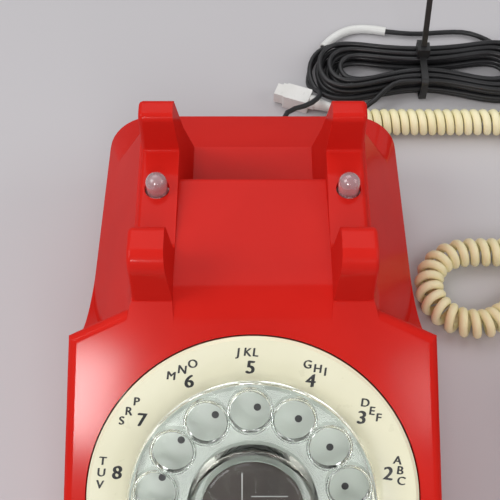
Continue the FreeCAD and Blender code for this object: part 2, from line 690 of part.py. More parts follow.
def governor_cup():
    back = CUP_BACK_Y
    cup = rod(GOVERNOR_CUP_R, Vector(GOVERNOR_X, back - 10, GOVERNOR_H), Vector(GOVERNOR_X, back, GOVERNOR_H))
    hollow = rod(GOVERNOR_CUP_R - 1, Vector(GOVERNOR_X, back - 11, GOVERNOR_H), Vector(GOVERNOR_X, back - 1, GOVERNOR_H))
    bore = rod(GOVERNOR_SHAFT_R + FIT, Vector(GOVERNOR_X, back - 2, GOVERNOR_H), Vector(GOVERNOR_X, back + 2, GOVERNOR_H))
    return on_dial(cup.cut(hollow).cut(bore))


def bracket_posts():
    return [(GOVERNOR_X, -16), (GOVERNOR_X + 2, 27)]


def gear_bracket():
    """Plate under the gears with bearings for the spindle, the pinion and the governor."""
    arm = rounded_prism([(GOVERNOR_X - 4, -8), (16, -8), (16, 8), (GOVERNOR_X - 4, 8)], [2, 6, 6, 2], BRACKET_LOW, BRACKET_TOP)
    wing = rounded_prism([(GOVERNOR_X - 4, -20), (GOVERNOR_X + 6, -20), (GOVERNOR_X + 6, 31), (GOVERNOR_X - 4, 31)],
                         [3, 3, 3, 3], BRACKET_LOW, BRACKET_TOP)
    lugs = [block(GOVERNOR_X - 2.5, GOVERNOR_X + 2.5, y, y + 2, GOVERNOR_H - 2.5, BRACKET_TOP) for y in (-12, CUP_BACK_Y)]
    anchor = cylinder(1.0, BRACKET_LOW - 5.5, BRACKET_LOW, SPRING_OUTER_R + 1.6)
    plate = fuse([arm, wing, anchor] + lugs)
    holes = [cylinder(SPINDLE_R + RUNNING_FIT, -60, 0), cylinder(PINION_SHAFT_R + RUNNING_FIT, -60, 0, PINION_X)]
    for y in (-12, CUP_BACK_Y):
        holes.append(rod(GOVERNOR_SHAFT_R + RUNNING_FIT, Vector(GOVERNOR_X, y - 1, GOVERNOR_H), Vector(GOVERNOR_X, y + 3, GOVERNOR_H)))
    return on_dial(plate.cut(Part.makeCompound(holes)))


def main_spring():
    """Flat spiral spring, drawn as half rings that grow by half a coil step each."""
    low = BRACKET_LOW - 5
    half_step = SPRING_STEP / 2
    rings = []
    radius = SPINDLE_R + 0.5
    centre = 0.0
    side = 1
    while radius < SPRING_OUTER_R:
        outer = Part.makeCylinder(radius + SPRING_STRIP, 4, Vector(centre, 0, low), Vector(0, 0, 1), 180)
        ring = outer.cut(cylinder(radius, low, low + 4, centre))
        if side < 0:
            ring.rotate(Vector(centre, 0, 0), Vector(0, 0, 1), 180)
        rings.append(ring)
        centre -= side * half_step
        radius += half_step
        side = -side
    return on_dial(fuse(rings))


def impulse_springs():
    """Stack of contact leaves on the dial frame, reaching in to the cam."""
    top = FRAME_TOP - FRAME_THICK
    stack = rounded_prism([(16, -4), (25, -4), (25, 4), (16, 4)], [1, 1, 1, 1], top - 3.4, top)
    leaves = [block(CAM_R + 2.2, 16.5, y, y + 0.5, top - 3.2, top - 0.8) for y in (-2.6, -0.2, 2.2)]
    return on_dial(fuse([stack] + leaves))


def plunger(side):
    """Clear plunger with a round head, a collar that keeps it in and a round foot on the yoke."""
    tip = RAIL_TOP_Z + PLUNGER_UP
    foot = YOKE_TOP_Z + FIT
    shape = cylinder(PLUNGER_R, foot + PLUNGER_R, tip - PLUNGER_R)
    shape = shape.fuse(Part.makeSphere(PLUNGER_R, Vector(0, 0, tip - PLUNGER_R)))
    shape = shape.fuse(Part.makeSphere(PLUNGER_R, Vector(0, 0, foot + PLUNGER_R)))
    roof = RAIL_TOP_Z - PLUNGER_ROOF
    shape = shape.fuse(cylinder(PLUNGER_POCKET_R - 0.5, roof - 2.4, roof - FIT)).removeSplitter()
    shape.translate(Vector(side * PLUNGER_X, PLUNGER_Y, 0))
    return shape


def switch_lever():
    """Yoke that both plungers press: a tube on the pin, two arms and a cross plate."""
    tube = rod(YOKE_PIN_R + 1.5, Vector(-YOKE_HALF, YOKE_Y, YOKE_Z), Vector(YOKE_HALF, YOKE_Y, YOKE_Z))
    arms = [block(side * PLUNGER_X - 3, side * PLUNGER_X + 3, YOKE_Y, PLUNGER_Y + 4, YOKE_TOP_Z - 3, YOKE_TOP_Z) for side in (-1, 1)]
    plate = block(-PLUNGER_X, PLUNGER_X, SPRING_POST_Y - 5, SPRING_POST_Y + 5, YOKE_TOP_Z - 2, YOKE_TOP_Z)
    lever = fuse([tube, plate] + arms)
    return lever.cut(rod(YOKE_PIN_R + RUNNING_FIT, Vector(-80, YOKE_Y, YOKE_Z), Vector(80, YOKE_Y, YOKE_Z)))


def switch_pin():
    return rod(YOKE_PIN_R, Vector(-YOKE_HALF - 3.5, YOKE_Y, YOKE_Z), Vector(YOKE_HALF + 3.5, YOKE_Y, YOKE_Z))


def switch_bracket():
    outer = YOKE_HALF + 3
    strip = block(-outer, outer, YOKE_Y - 5, YOKE_Y + 5, BASE_TOP_Z, BASE_TOP_Z + 1.5)
    cheeks = [block(x, x + 2, YOKE_Y - 5, YOKE_Y + 5, BASE_TOP_Z, YOKE_Z + 4) for x in (-outer, outer - 2)]
    x = SPRING_POST_X
    tongue = block(x - 5, x + 5, YOKE_Y, SPRING_POST_Y + 5, BASE_TOP_Z, BASE_TOP_Z + 1.5)
    post = cylinder(5, BASE_TOP_Z, SPRING_SEAT_Z, x, SPRING_POST_Y)
    bracket = fuse([strip, tongue, post] + cheeks)
    return bracket.cut(rod(YOKE_PIN_R + 0.02, Vector(-80, YOKE_Y, YOKE_Z), Vector(80, YOKE_Y, YOKE_Z)))


def switch_spring():
    """Compression spring that lifts the yoke."""
    low = SPRING_SEAT_Z + SPRING_WIRE_R + 0.02
    high = YOKE_TOP_Z - 2 - SPRING_WIRE_R - 0.05
    turns = 6

    def place(t):
        angle = 2 * math.pi * turns * t
        return Vector(SPRING_POST_X + 3.4 * math.cos(angle), SPRING_POST_Y + 3.4 * math.sin(angle), low + (high - low) * t)

    return tube_along(place, [i / (4.0 * turns) for i in range(4 * turns + 1)], SPRING_WIRE_R)


def switch_contacts():
    """Pile of contact leaves and insulators on the bracket, beside the yoke."""
    low = BASE_TOP_Z + 1.5
    pile = rounded_prism([(10, YOKE_Y - 4), (28, YOKE_Y - 4), (28, YOKE_Y + 4), (10, YOKE_Y + 4)], [1, 1, 1, 1], low, low + 12)
    leaves = [block(x, x + 0.5, YOKE_Y - 3, YOKE_Y + 3, low + 12, YOKE_Z - 5) for x in (12.5, 16.5, 20.5, 24.5)]
    return fuse([pile] + leaves)


def gong(side):
    """Bell: a thin turned cup with a hole for its screw."""
    rim, top = GONG_RIM_Z, GONG_TOP_Z
    flat = GONG_R - (top - rim)
    hole = SCREW_R + 0.2
    outer_r = top - rim
    inner_r = outer_r - GONG_WALL
    lean = math.sqrt(0.5)
    outer = Part.Arc(Vector(flat + outer_r, 0, rim), Vector(flat + outer_r * lean, 0, rim + outer_r * lean),
                     Vector(flat, 0, top)).toShape()
    inner = Part.Arc(Vector(flat, 0, top - GONG_WALL), Vector(flat + inner_r * lean, 0, rim + inner_r * lean),
                     Vector(flat + inner_r, 0, rim)).toShape()
    crown = Part.LineSegment(Vector(flat, 0, top), Vector(hole, 0, top)).toShape()
    neck = Part.LineSegment(Vector(hole, 0, top), Vector(hole, 0, top - GONG_WALL)).toShape()
    under = Part.LineSegment(Vector(hole, 0, top - GONG_WALL), Vector(flat, 0, top - GONG_WALL)).toShape()
    lip = Part.LineSegment(Vector(flat + inner_r, 0, rim), Vector(flat + outer_r, 0, rim)).toShape()
    bell = Part.Face(Part.Wire([outer, crown, neck, under, inner, lip])).revolve(Vector(0, 0, 0), Vector(0, 0, 1), 360)
    bell.translate(Vector(side * GONG_X, GONG_Y, 0))
    return bell


def gong_screws():
    solids = []
    for side in (-1, 1):
        head = cylinder(SCREW_HEAD_R, GONG_TOP_Z, GONG_TOP_Z + SCREW_HEAD_H)
        slot = block(-SCREW_HEAD_R, SCREW_HEAD_R, -0.4, 0.4, GONG_TOP_Z + 0.8, GONG_TOP_Z + SCREW_HEAD_H)
        whole = head.cut(slot).fuse(cylinder(SCREW_R, GONG_TOP_Z - 10, GONG_TOP_Z)).removeSplitter()
        whole.translate(Vector(side * GONG_X, GONG_Y, 0))
        solids.append(whole)
    return Part.makeCompound(solids)


def ringer_frame():
    """Pressed plate with the two gong posts and the yoke in front of the coils."""
    low, high = BASE_TOP_Z, BASE_TOP_Z + 1.5
    across = GONG_X + 6
    strip = rounded_prism([(-across, GONG_Y - 6), (across, GONG_Y - 6), (across, GONG_Y + 6), (-across, GONG_Y + 6)],
                          [3, 3, 3, 3], low, high)
    stem = block(-COIL_X - 7, COIL_X + 7, COIL_FRONT_Y - 2, GONG_Y, low, high)
    yoke = block(-COIL_X - 7, COIL_X + 7, COIL_FRONT_Y - 2, COIL_FRONT_Y, low, CLAPPER_Z + 5)
    posts = [cylinder(BOSS_R, low, GONG_TOP_Z - GONG_WALL, side * GONG_X, GONG_Y) for side in (-1, 1)]
    frame = fuse([strip, stem, yoke] + posts)
    holes = [cylinder(SCREW_R + 0.05, GONG_TOP_Z - 12, GONG_TOP_Z, side * GONG_X, GONG_Y) for side in (-1, 1)]
    holes.append(cylinder(CLAPPER_PIN_R + 0.02, 0, high, 0, CLAPPER_Y))
    return frame.cut(Part.makeCompound(holes))


def ringer_coils():
    """Two wound bobbins with iron cores, fixed to the yoke of the ringer frame."""
    solids = []
    for side in (-1, 1):
        x = side * COIL_X
        places = (COIL_FRONT_Y, COIL_REAR_Y - 1.2)
        bobbin = rod(6.4, Vector(x, COIL_FRONT_Y, CLAPPER_Z), Vector(x, COIL_REAR_Y, CLAPPER_Z))
        cheeks = [rod(7.4, Vector(x, y, CLAPPER_Z), Vector(x, y + 1.2, CLAPPER_Z)) for y in places]
        core = rod(2.6, Vector(x, COIL_FRONT_Y, CLAPPER_Z), Vector(x, COIL_REAR_Y + 2, CLAPPER_Z))
        solids.append(fuse([bobbin, core] + cheeks))
    return Part.makeCompound(solids)


def clapper():
    """Armature on its pin, with the hammer rod and ball between the gongs."""
    hub = cylinder(CLAPPER_PIN_R + 1.6, CLAPPER_Z - 5, CLAPPER_Z + 5, 0, CLAPPER_Y)
    reach = COIL_X + 4
    bar = block(-reach, reach, CLAPPER_Y - 1.2, CLAPPER_Y + 1.2, CLAPPER_Z - 3.5, CLAPPER_Z + 3.5)
    hammer = rod(0.9, Vector(0, CLAPPER_Y + 1.5, CLAPPER_Z), Vector(0, GONG_Y, CLAPPER_Z))
    ball = Part.makeSphere(CLAPPER_BALL_R, Vector(0, GONG_Y, CLAPPER_Z))
    whole = fuse([hub, bar, hammer, ball])
    return whole.cut(cylinder(CLAPPER_PIN_R + RUNNING_FIT, CLAPPER_Z - 9, CLAPPER_Z + 9, 0, CLAPPER_Y))


def clapper_pin():
    pin = cylinder(CLAPPER_PIN_R, BASE_TOP_Z, CLAPPER_Z + 6.5, 0, CLAPPER_Y)
    collar = cylinder(CLAPPER_PIN_R + 1.2, BASE_TOP_Z + 1.5, CLAPPER_Z - 5.1, 0, CLAPPER_Y)
    return pin.fuse(collar).removeSplitter()


def board_corners():
    return [(x, y) for x in (-BOARD_HALF + 5, BOARD_HALF - 5) for y in (BOARD_FRONT_Y + 5, BOARD_REAR_Y - 5)]


def circuit_board():
    half = BOARD_HALF
    corners = [(-half, BOARD_FRONT_Y), (half, BOARD_FRONT_Y), (half, BOARD_REAR_Y), (-half, BOARD_REAR_Y)]
    return rounded_prism(corners, [2, 2, 2, 2], BOARD_Z, BOARD_Z + BOARD_THICK)


def capacitor():
    low = BOARD_Z + BOARD_THICK
    return rounded_prism([(-36, -28), (-8, -28), (-8, -12), (-36, -12)], [3, 3, 3, 3], low, low + 12)


def induction_coil():
    """Transformer: a block of laminations with the winding through it."""
    low = BOARD_Z + BOARD_THICK
    core = block(8, 34, -24, -14, low, low + 20)
    winding = rounded_prism([(12, -28), (30, -28), (30, -10), (12, -10)], [4, 4, 4, 4], low + 4, low + 16)
    return fuse([core, winding])


def terminal_block():
    low = BOARD_Z + BOARD_THICK
    rail = block(-20, 4, -10, -3.5, low, low + 5)
    towers = [block(x, x + 3.6, -9.5, -4, low, low + 9) for x in (-19.5, -14.5, -9.5, -4.5, -0.4)]
    return fuse([rail] + towers)


def case_grommet(x):
    """Rubber grommet in the rear wall, tapering back to the cord."""
    wall = CASE_REAR_Y + (WAIST_Z - CORD_EXIT_Z) * WALL_DRAFT
    neck = rod(GROMMET_NECK_R, Vector(x, wall - WALL - 2, CORD_EXIT_Z), Vector(x, wall + 2, CORD_EXIT_Z))
    inner = rod(GROMMET_NECK_R + 1.5, Vector(x, wall - WALL - 2.2, CORD_EXIT_Z), Vector(x, wall - WALL - 0.3, CORD_EXIT_Z))
    outer = rod(GROMMET_NECK_R + 1.5, Vector(x, wall + 0.4, CORD_EXIT_Z), Vector(x, wall + 2, CORD_EXIT_Z))
    length = GROMMET_END_Y - wall - 2
    taper = Part.makeCone(GROMMET_NECK_R + 0.8, 2.3, length, Vector(x, wall + 2, CORD_EXIT_Z), Vector(0, 1, 0))
    return fuse([neck, inner, outer, taper])


def arc_between(start, apex, end):
    """Circular arc tangent at its ends to the lines from a shared apex."""
    to_start = start - apex
    to_end = end - apex
    reach = to_start.Length
    if reach < 1e-7 or to_start.cross(to_end).Length < 1e-7 * reach * reach:
        return Part.LineSegment(start, end).toShape()
    half = to_start.getAngle(to_end) / 2
    inward = (to_start.normalize() + to_end.normalize()).normalize()
    middle = apex + inward * (reach / math.cos(half) - reach * math.tan(half))
    return Part.Arc(start, middle, end).toShape()


def two_arcs(start, along, end, onward):
    """Pair of arcs that join two points with given directions."""
    chord = end - start
    both = along + onward
    a = 2 * (1 - along.dot(onward))
    b = 2 * chord.dot(both)
    c = -chord.dot(chord)
    if a < 1e-9:
        reach = -c / b
    else:
        reach = (-b + math.sqrt(b * b - 4 * a * c)) / (2 * a)
    first = start + along * reach
    second = end - onward * reach
    joint = (first + second) * 0.5
    return [arc_between(start, first, joint), arc_between(joint, second, end)]


def tube_along(place, stops, radius):
    """Tube of pairs of arcs through a curve's points at the stops."""
    points = [place(t) for t in stops]
    directions = []
    for i in range(len(stops)):
        small = (stops[min(i + 1, len(stops) - 1)] - stops[max(i - 1, 0)]) * 1e-3
        ahead = place(min(stops[i] + small, stops[-1]))
        behind = place(max(stops[i] - small, stops[0]))
        directions.append((ahead - behind).normalize())
    edges = []
    for i in range(len(stops) - 1):
        edges += two_arcs(points[i], directions[i], points[i + 1], directions[i + 1])
    return swept(edges, points[0], directions[0], radius)


def swept(edges, start, along, radius):
    path = Part.Wire(edges)
    profile = Part.Wire([Part.makeCircle(radius, start, along)])
    return path.makePipeShell([profile], True, False)


def routed_tube(points, radius):
    """Tube of straight runs with an arc at each bend."""
    edges = []
    last = points[0]
    least = 1e9
    for before, corner, after in zip(points, points[1:], points[2:]):
        run = min((corner - before).Length, (after - corner).Length)
        turn = (corner - before).getAngle(after - corner)
        bend = 0.45 * run / math.tan(turn / 2)
        least = min(least, bend)
        start, middle, end = corner_arc(before, corner, after, bend)
        edges.append(Part.LineSegment(last, start).toShape())
        edges.append(Part.Arc(start, middle, end).toShape())
        last = end
    edges.append(Part.LineSegment(last, points[-1]).toShape())
    length = sum(edge.Length for edge in edges)
    tube = swept(edges, points[0], points[1] - points[0], radius)
    print("least bend", round(least, 2), "length", round(length, 1), "volume share", round(tube.Volume / (math.pi * radius ** 2 * length), 3))
    return tube


# Plan route of the curly cord: straight lengths, and turns as radius and degrees (left is positive)
CURLY_ROUTE = [
    (3.5, None), (13.0, -90.0), (64.0, None), (34.0, -180.0), (21.0, None), (16.5, 180.0),
    (25.0, 45.0), (23.5, None), (18.0, -135.0), (3.5, None),
]


def route_length(piece):
    if piece[1] is None:
        return piece[0]
    return piece[0] * math.radians(abs(piece[1]))


def route_place(distance):
    """Plan position and heading at a distance along the curly cord's route."""
    x, y, heading = HANDSET_CORD_X, GROMMET_END_Y, math.pi / 2
    for piece in CURLY_ROUTE:
        whole = route_length(piece)
        part = min(distance, whole)
        if piece[1] is None:
            x += part * math.cos(heading)
            y += part * math.sin(heading)
        else:
            side = math.copysign(1.0, piece[1])
            turn = side * part / piece[0]
            x += side * piece[0] * (math.sin(heading + turn) - math.sin(heading))
            y -= side * piece[0] * (math.cos(heading + turn) - math.cos(heading))
            heading += turn
        distance -= part
        if distance <= 0:
            break
    return x, y, heading


def ease(share):
    share = max(0.0, min(1.0, share))
    return share * share * (3 - 2 * share)


CURLY_LENGTH = sum(route_length(piece) for piece in CURLY_ROUTE)
CURLY_START = 25.0
CURLY_STOP = CURLY_LENGTH - 40.0
CURLY_PITCH = [(0, 3.7), (78, 3.7), (86, 4.4), (192, 4.4), (200, 3.9), (212, 4.6), (225, 5.4),
               (262, 5.4), (275, 4.8), (296, 4.8), (306, 5.6), (500, 5.6)]


def pitch_at(distance):
    for (a, p), (b, q) in zip(CURLY_PITCH, CURLY_PITCH[1:]):
        if distance <= b:
            return p + (q - p) * (distance - a) / (b - a)
    return CURLY_PITCH[-1][1]


def curly_phases():
    """Table of turns wound so far against distance."""
    step = 0.05
    table = [(CURLY_START, 0.0)]
    distance = CURLY_START
    turns = 0.0
    while distance < CURLY_STOP:
        turns += step / pitch_at(distance + step / 2)
        distance += step
        table.append((distance, turns))
    return step, table


def handset_cord():
    """Curly cord as one tube: a plain lead, the curls along the route, and a plain end into the handset."""
    step, table = curly_phases()
    whole_turns = table[-1][1]

    def place(distance):
        x, y, heading = route_place(distance)
        drop = ease((distance - 3.4) / 21.0)
        rise = ease((distance - CURLY_LENGTH + 34.0) / 30.5)
        z = CORD_EXIT_Z + (CURLY_AXIS_Z - CORD_EXIT_Z) * drop + (HANDSET_ENTRY_Z - CURLY_AXIS_Z) * rise
        swell = ease((distance - CURLY_START) / 5.0) * ease((CURLY_STOP - distance) / 6.0)
        index = (min(max(distance, CURLY_START), CURLY_STOP) - CURLY_START) / step
        low = min(int(index), len(table) - 2)
        turns = table[low][1] + (table[low + 1][1] - table[low][1]) * (index - low)
        angle = 2 * math.pi * turns
        out = CURLY_COIL_R * swell * math.cos(angle)
        up = CURLY_COIL_R * swell * math.sin(angle)
        return Vector(x - out * math.sin(heading), y + out * math.cos(heading), z + up)

    stops = [0.0, 1.7, 3.4] + [3.4 + (CURLY_START - 3.4) * i / 4.0 for i in (1, 2, 3)]
    quarters = int(whole_turns * 4)
    k = 0
    for distance, turns in table:
        if turns * 4 >= k and k <= quarters:
            stops.append(distance)
            k += 1
    rest = CURLY_LENGTH - 3.4 - stops[-1]
    stops += [stops[-1] + rest * i / 6.0 for i in range(1, 7)] + [CURLY_LENGTH]
    fine = []
    for a, b in zip(stops, stops[1:]):
        fine += [place(a + (b - a) * i / 6.0) for i in range(6)]
    least = 1e9
    for i in range(len(fine)):
        along = 0.0
        for j in range(i + 1, min(i + 80, len(fine))):
            along += (fine[j] - fine[j - 1]).Length
            if along > 6 * CURLY_WIRE_R:
                least = min(least, (fine[i] - fine[j]).Length)
    print("curls", round(whole_turns, 1), "least gap between curls", round(least - 2 * CURLY_WIRE_R, 2))
    tube = tube_along(place, stops, CURLY_WIRE_R)
    print("curly cord stretch", round(CURLY_LENGTH, 1), "wire", round(tube.Volume / (math.pi * CURLY_WIRE_R ** 2), 1))
    return tube


def hank_place(loops):
    """Point of the wound line cord; four layers of loops that spiral in and out, drawn in at the tie."""
    angle = math.pi - 2 * math.pi * loops
    ring = HANK_RINGS * abs(1 - (loops % 6) / 3.0)
    layer = 0.0
    for climb in (3.0, 6.0, 9.0):
        layer += ease((loops - climb + 0.4) / 0.8)
    reach = HANK_REACH + HANK_REACH_STEP * ring + 0.8 * math.sin(2.1 * layer)
    waist = HANK_WAIST + HANK_WAIST_STEP * ring
    lobe = HANK_LOBE + HANK_REACH_STEP * ring
    across = math.cos(angle) * reach
    off = math.sin(angle) * (waist + (lobe - waist) * math.sin(2 * angle) ** 2)
    loose = 1 - ease((loops - 0.3) / 0.2)
    off += 16.0 * max(0.0, math.sin(angle)) * loose
    lift = HANK_LIFT * math.exp(-(across / 18.0) ** 2) * (1 - loose) + SLEEVE_WALL * loose
    return Vector(HANK_X + across, HANK_Y + off, HANK_LAY_Z + LAYER_Z * layer + lift)


def hank_direction(loops):
    low = max(loops - 1e-4, 0.0)
    return (hank_place(low + 2e-4) - hank_place(low)).normalize()


def line_cord_hank():
    count = int(HANK_LOOPS * 12)
    stops = [HANK_LOOPS * i / count for i in range(count + 1)]
    tube = tube_along(hank_place, stops, CORD_R)
    fine = [hank_place(HANK_LOOPS * i / (count * 3.0)) for i in range(count * 3 + 1)]
    along = [0.0]
    for a, b in zip(fine, fine[1:]):
        along.append(along[-1] + (b - a).Length)
    least = 1e9
    for i in range(len(fine)):
        for j in range(i + 1, len(fine)):
            if along[j] - along[i] > 12 * CORD_R:
                least = min(least, (fine[i] - fine[j]).Length)
    print("hank cord", round(tube.Volume / (math.pi * CORD_R ** 2), 1), "least gap in hank", round(least - 2 * CORD_R, 2))
    return tube


def line_cord():
    """Stretch of line cord from its grommet round to the hank."""
    start = hank_place(0.0)
    along = hank_direction(0.0)
    return routed_tube([
        Vector(LINE_CORD_X, GROMMET_END_Y, CORD_EXIT_Z), Vector(LINE_CORD_X, GROMMET_END_Y + 12.8, CORD_EXIT_Z),
        Vector(LINE_CORD_X + 13, GROMMET_END_Y + 21, 12.0), Vector(LINE_CORD_X + 20, GROMMET_END_Y + 31.5, 8.6),
        start - along * 7, start], CORD_R)


PLUG_TURN = -20.0
PLUG_AXIS = Vector(math.cos(math.radians(PLUG_TURN)), math.sin(math.radians(PLUG_TURN)), 0)
PLUG_PLACE = Vector(20.0, 146.5, 0)
PLUG_Z = 4.0
BOOT_END = 18.0


def on_plug(shape):
    placed = shape.copy()
    placed.rotate(Vector(0, 0, 0), Vector(0, 0, 1), PLUG_TURN)
    placed.translate(PLUG_PLACE)
    return placed


def line_plug_body():
    """White plug: a flat body with a narrower nose and a spring latch on its side."""
    body = rounded_prism([(-6, -4.2), (6, -4.2), (6, 4.2), (-6, 4.2)], [1.2, 0.8, 0.8, 1.2], 0.3, 7.6)
    nose = block(-10, -6, -3.2, 3.2, 1.2, 6.8)
    latch = block(-8, 4, 4.2, 5.2, 2.4, 5.6)
    return on_plug(fuse([body, nose, latch]))


def line_plug_boot():
    collar = rod(3.3, Vector(6, 0, PLUG_Z), Vector(8.5, 0, PLUG_Z))
    taper = Part.makeCone(2.9, 1.7, BOOT_END - 8.5, Vector(8.5, 0, PLUG_Z), Vector(1, 0, 0))
    return on_plug(fuse([collar, taper]))


def line_cord_tail():
    """Stretch of line cord from the hank down to the plug."""
    start = hank_place(HANK_LOOPS)
    along = hank_direction(HANK_LOOPS - 2e-4)
    end = PLUG_PLACE + PLUG_AXIS * BOOT_END
    end = Vector(end.x, end.y, PLUG_Z)
    return routed_tube([start, start + along * 9, end + PLUG_AXIS * 12, end], CORD_R)


def cable_tie():
    """Black tie round the middle of the hank, with its head on top and a long tail."""
    low, high = 0.25, HANK_LAY_Z + 3 * LAYER_Z + HANK_LIFT + CORD_R + FIT + TIE_THICK
    half = HANK_WAIST + HANK_WAIST_STEP * HANK_RINGS + CORD_R + FIT + TIE_THICK
    corners = [Vector(0, -half, low), Vector(0, half, low), Vector(0, half, high), Vector(0, -half, high)]
    t = TIE_THICK
    inner = [Vector(0, -half + t, low + t), Vector(0, half - t, low + t), Vector(0, half - t, high - t), Vector(0, -half + t, high - t)]
    wide = Vector(TIE_WIDTH, 0, 0)
    band = Part.Face(rounded_outline(corners, [3.0] * 4)).extrude(wide)
    band = band.cut(Part.Face(rounded_outline(inner, [1.9] * 4)).extrude(wide))
    head = block(-1.2, TIE_WIDTH + 1.2, 1.0, 6.0, high - 0.6, high + 4.4)
    tail = slab_in_x([(3.0, high + 4), (4.1, high + 4), (15.1, high + 44), (14.0, high + 44)], 0.3, TIE_WIDTH - 0.3)
    tie = fuse([band, head, tail])
    tie.translate(Vector(HANK_X - TIE_WIDTH / 2, HANK_Y, 0))
    return tie


def cord_sleeve():
    """White sleeve round the loose outer loop of the line cord."""
    stops = [0.085 + 0.015 * i for i in range(9)]
    outer = tube_along(hank_place, stops, CORD_R + SLEEVE_WALL)
    wide = [0.06 + 0.015 * i for i in range(12)]
    return outer.cut(tube_along(hank_place, wide, CORD_R + FIT))


def on_cup(shape, end):
    """Put a part drawn over its own face on the ear end (-1) or the mouth end (1) of the handset."""
    placed = shape.copy()
    placed.rotate(Vector(0, 0, 0), Vector(1, 0, 0), -end * HANDSET_FACE_TILT)
    lift = CAP_R * math.sin(math.radians(HANDSET_FACE_TILT)) + HANDSET_CLEAR
    placed.translate(Vector(0, end * HANDSET_SPAN / 2, lift))
    return placed


def in_place(shape):
    """Move a handset part from its own middle to its place on the table."""
    end_x, end_y, heading = route_place(CURLY_LENGTH)
    placed = shape.copy()
    placed.translate(Vector(end_x, end_y - HANDSET_GROMMET - cup_wall_y(), 0))
    return placed


def cup_wall_y():
    lean = math.radians(HANDSET_FACE_TILT)
    lift = CAP_R * math.sin(lean) + HANDSET_CLEAR
    return HANDSET_SPAN / 2 + CUP_R / math.cos(lean) + (HANDSET_ENTRY_Z - lift) * math.tan(lean)


def handset_handle():
    """Arched grip with a hollow cup at each end."""
    sections = []
    for y in (-100, -84, -46, 0, 46, 84, 100):
        share = abs(y) / 84.0
        middle = HANDLE_ARCH - 18.0 * share ** 2
        half = HANDLE_HALF_WIDTH + 2.5 * share ** 2
        tall = HANDLE_HALF_HEIGHT
        if abs(y) == 100:
            half = 11.0
            tall = 5.0
        corners = [Vector(-half, y, middle - tall), Vector(half, y, middle - tall),
                   Vector(half, y, middle + tall), Vector(-half, y, middle + tall)]
        sections.append(rounded_outline(corners, [tall * 0.5, tall * 0.5, tall * 0.78, tall * 0.78]))
    grip = Part.makeLoft(sections, True, False)
    low = 4.2
    cups = [on_cup(turned([(0, low), (CUP_R, low), (CUP_R, CUP_HEIGHT), (CUP_R - 5, CUP_HEIGHT + 5), (0, CUP_HEIGHT + 5)]), end)
            for end in (-1, 1)]
    hollows = [on_cup(cylinder(CUP_R - CUP_WALL, low - 1, CUP_HEIGHT), end) for end in (-1, 1)]
    whole = fuse([grip] + cups).cut(Part.makeCompound(hollows))
    wall = cup_wall_y()
    hole = rod(GROMMET_NECK_R, Vector(0, wall - 6, HANDSET_ENTRY_Z), Vector(0, wall + 4, HANDSET_ENTRY_Z))
    return in_place(whole.cut(hole))


def handset_cap(end, holes):
    """Screwed cap over a cup, with sound holes."""
    cap = turned([(0, 0), (21, 0), (26, 1.0), (CAP_R, 3.6), (CAP_R, CAP_HEIGHT), (CUP_R + FIT, CAP_HEIGHT),
                  (CUP_R + FIT, 3.9), (20, 2.8), (0, 2.8)])
    drills = [cylinder(1.1, -1, 5, r * math.cos(math.radians(a)), r * math.sin(math.radians(a))) for r, a in holes]
    return in_place(on_cup(cap.cut(Part.makeCompound(drills)), end))


def ear_cap():
    return handset_cap(-1, [(0, 0)] + [(7, 60 * i) for i in range(6)])


def mouth_cap():
    return handset_cap(1, [(0, 0)] + [(6, 60 * i) for i in range(6)] + [(12, 30 * i) for i in range(12)])


def sound_inset(end):
    """Receiver or transmitter capsule in its cup, against the cap."""
    capsule = turned([(0, 4.2), (19, 4.2), (CUP_R - CUP_WALL - FIT, 6.5), (CUP_R - CUP_WALL - FIT, 13), (0, 15)])
    return in_place(on_cup(capsule, end))


def handset_grommet():
    wall = cup_wall_y()
    z = HANDSET_ENTRY_Z
    neck = rod(GROMMET_NECK_R - 0.05, Vector(0, wall - 4.0, z), Vector(0, wall + 3, z))
    flange = rod(GROMMET_NECK_R + 1.0, Vector(0, wall + 1.4, z), Vector(0, wall + 3, z))
    taper = Part.makeCone(GROMMET_NECK_R + 0.6, 2.2, HANDSET_GROMMET - 3, Vector(0, wall + 3, z), Vector(0, 1, 0))
    return in_place(fuse([neck, flange, taper]))


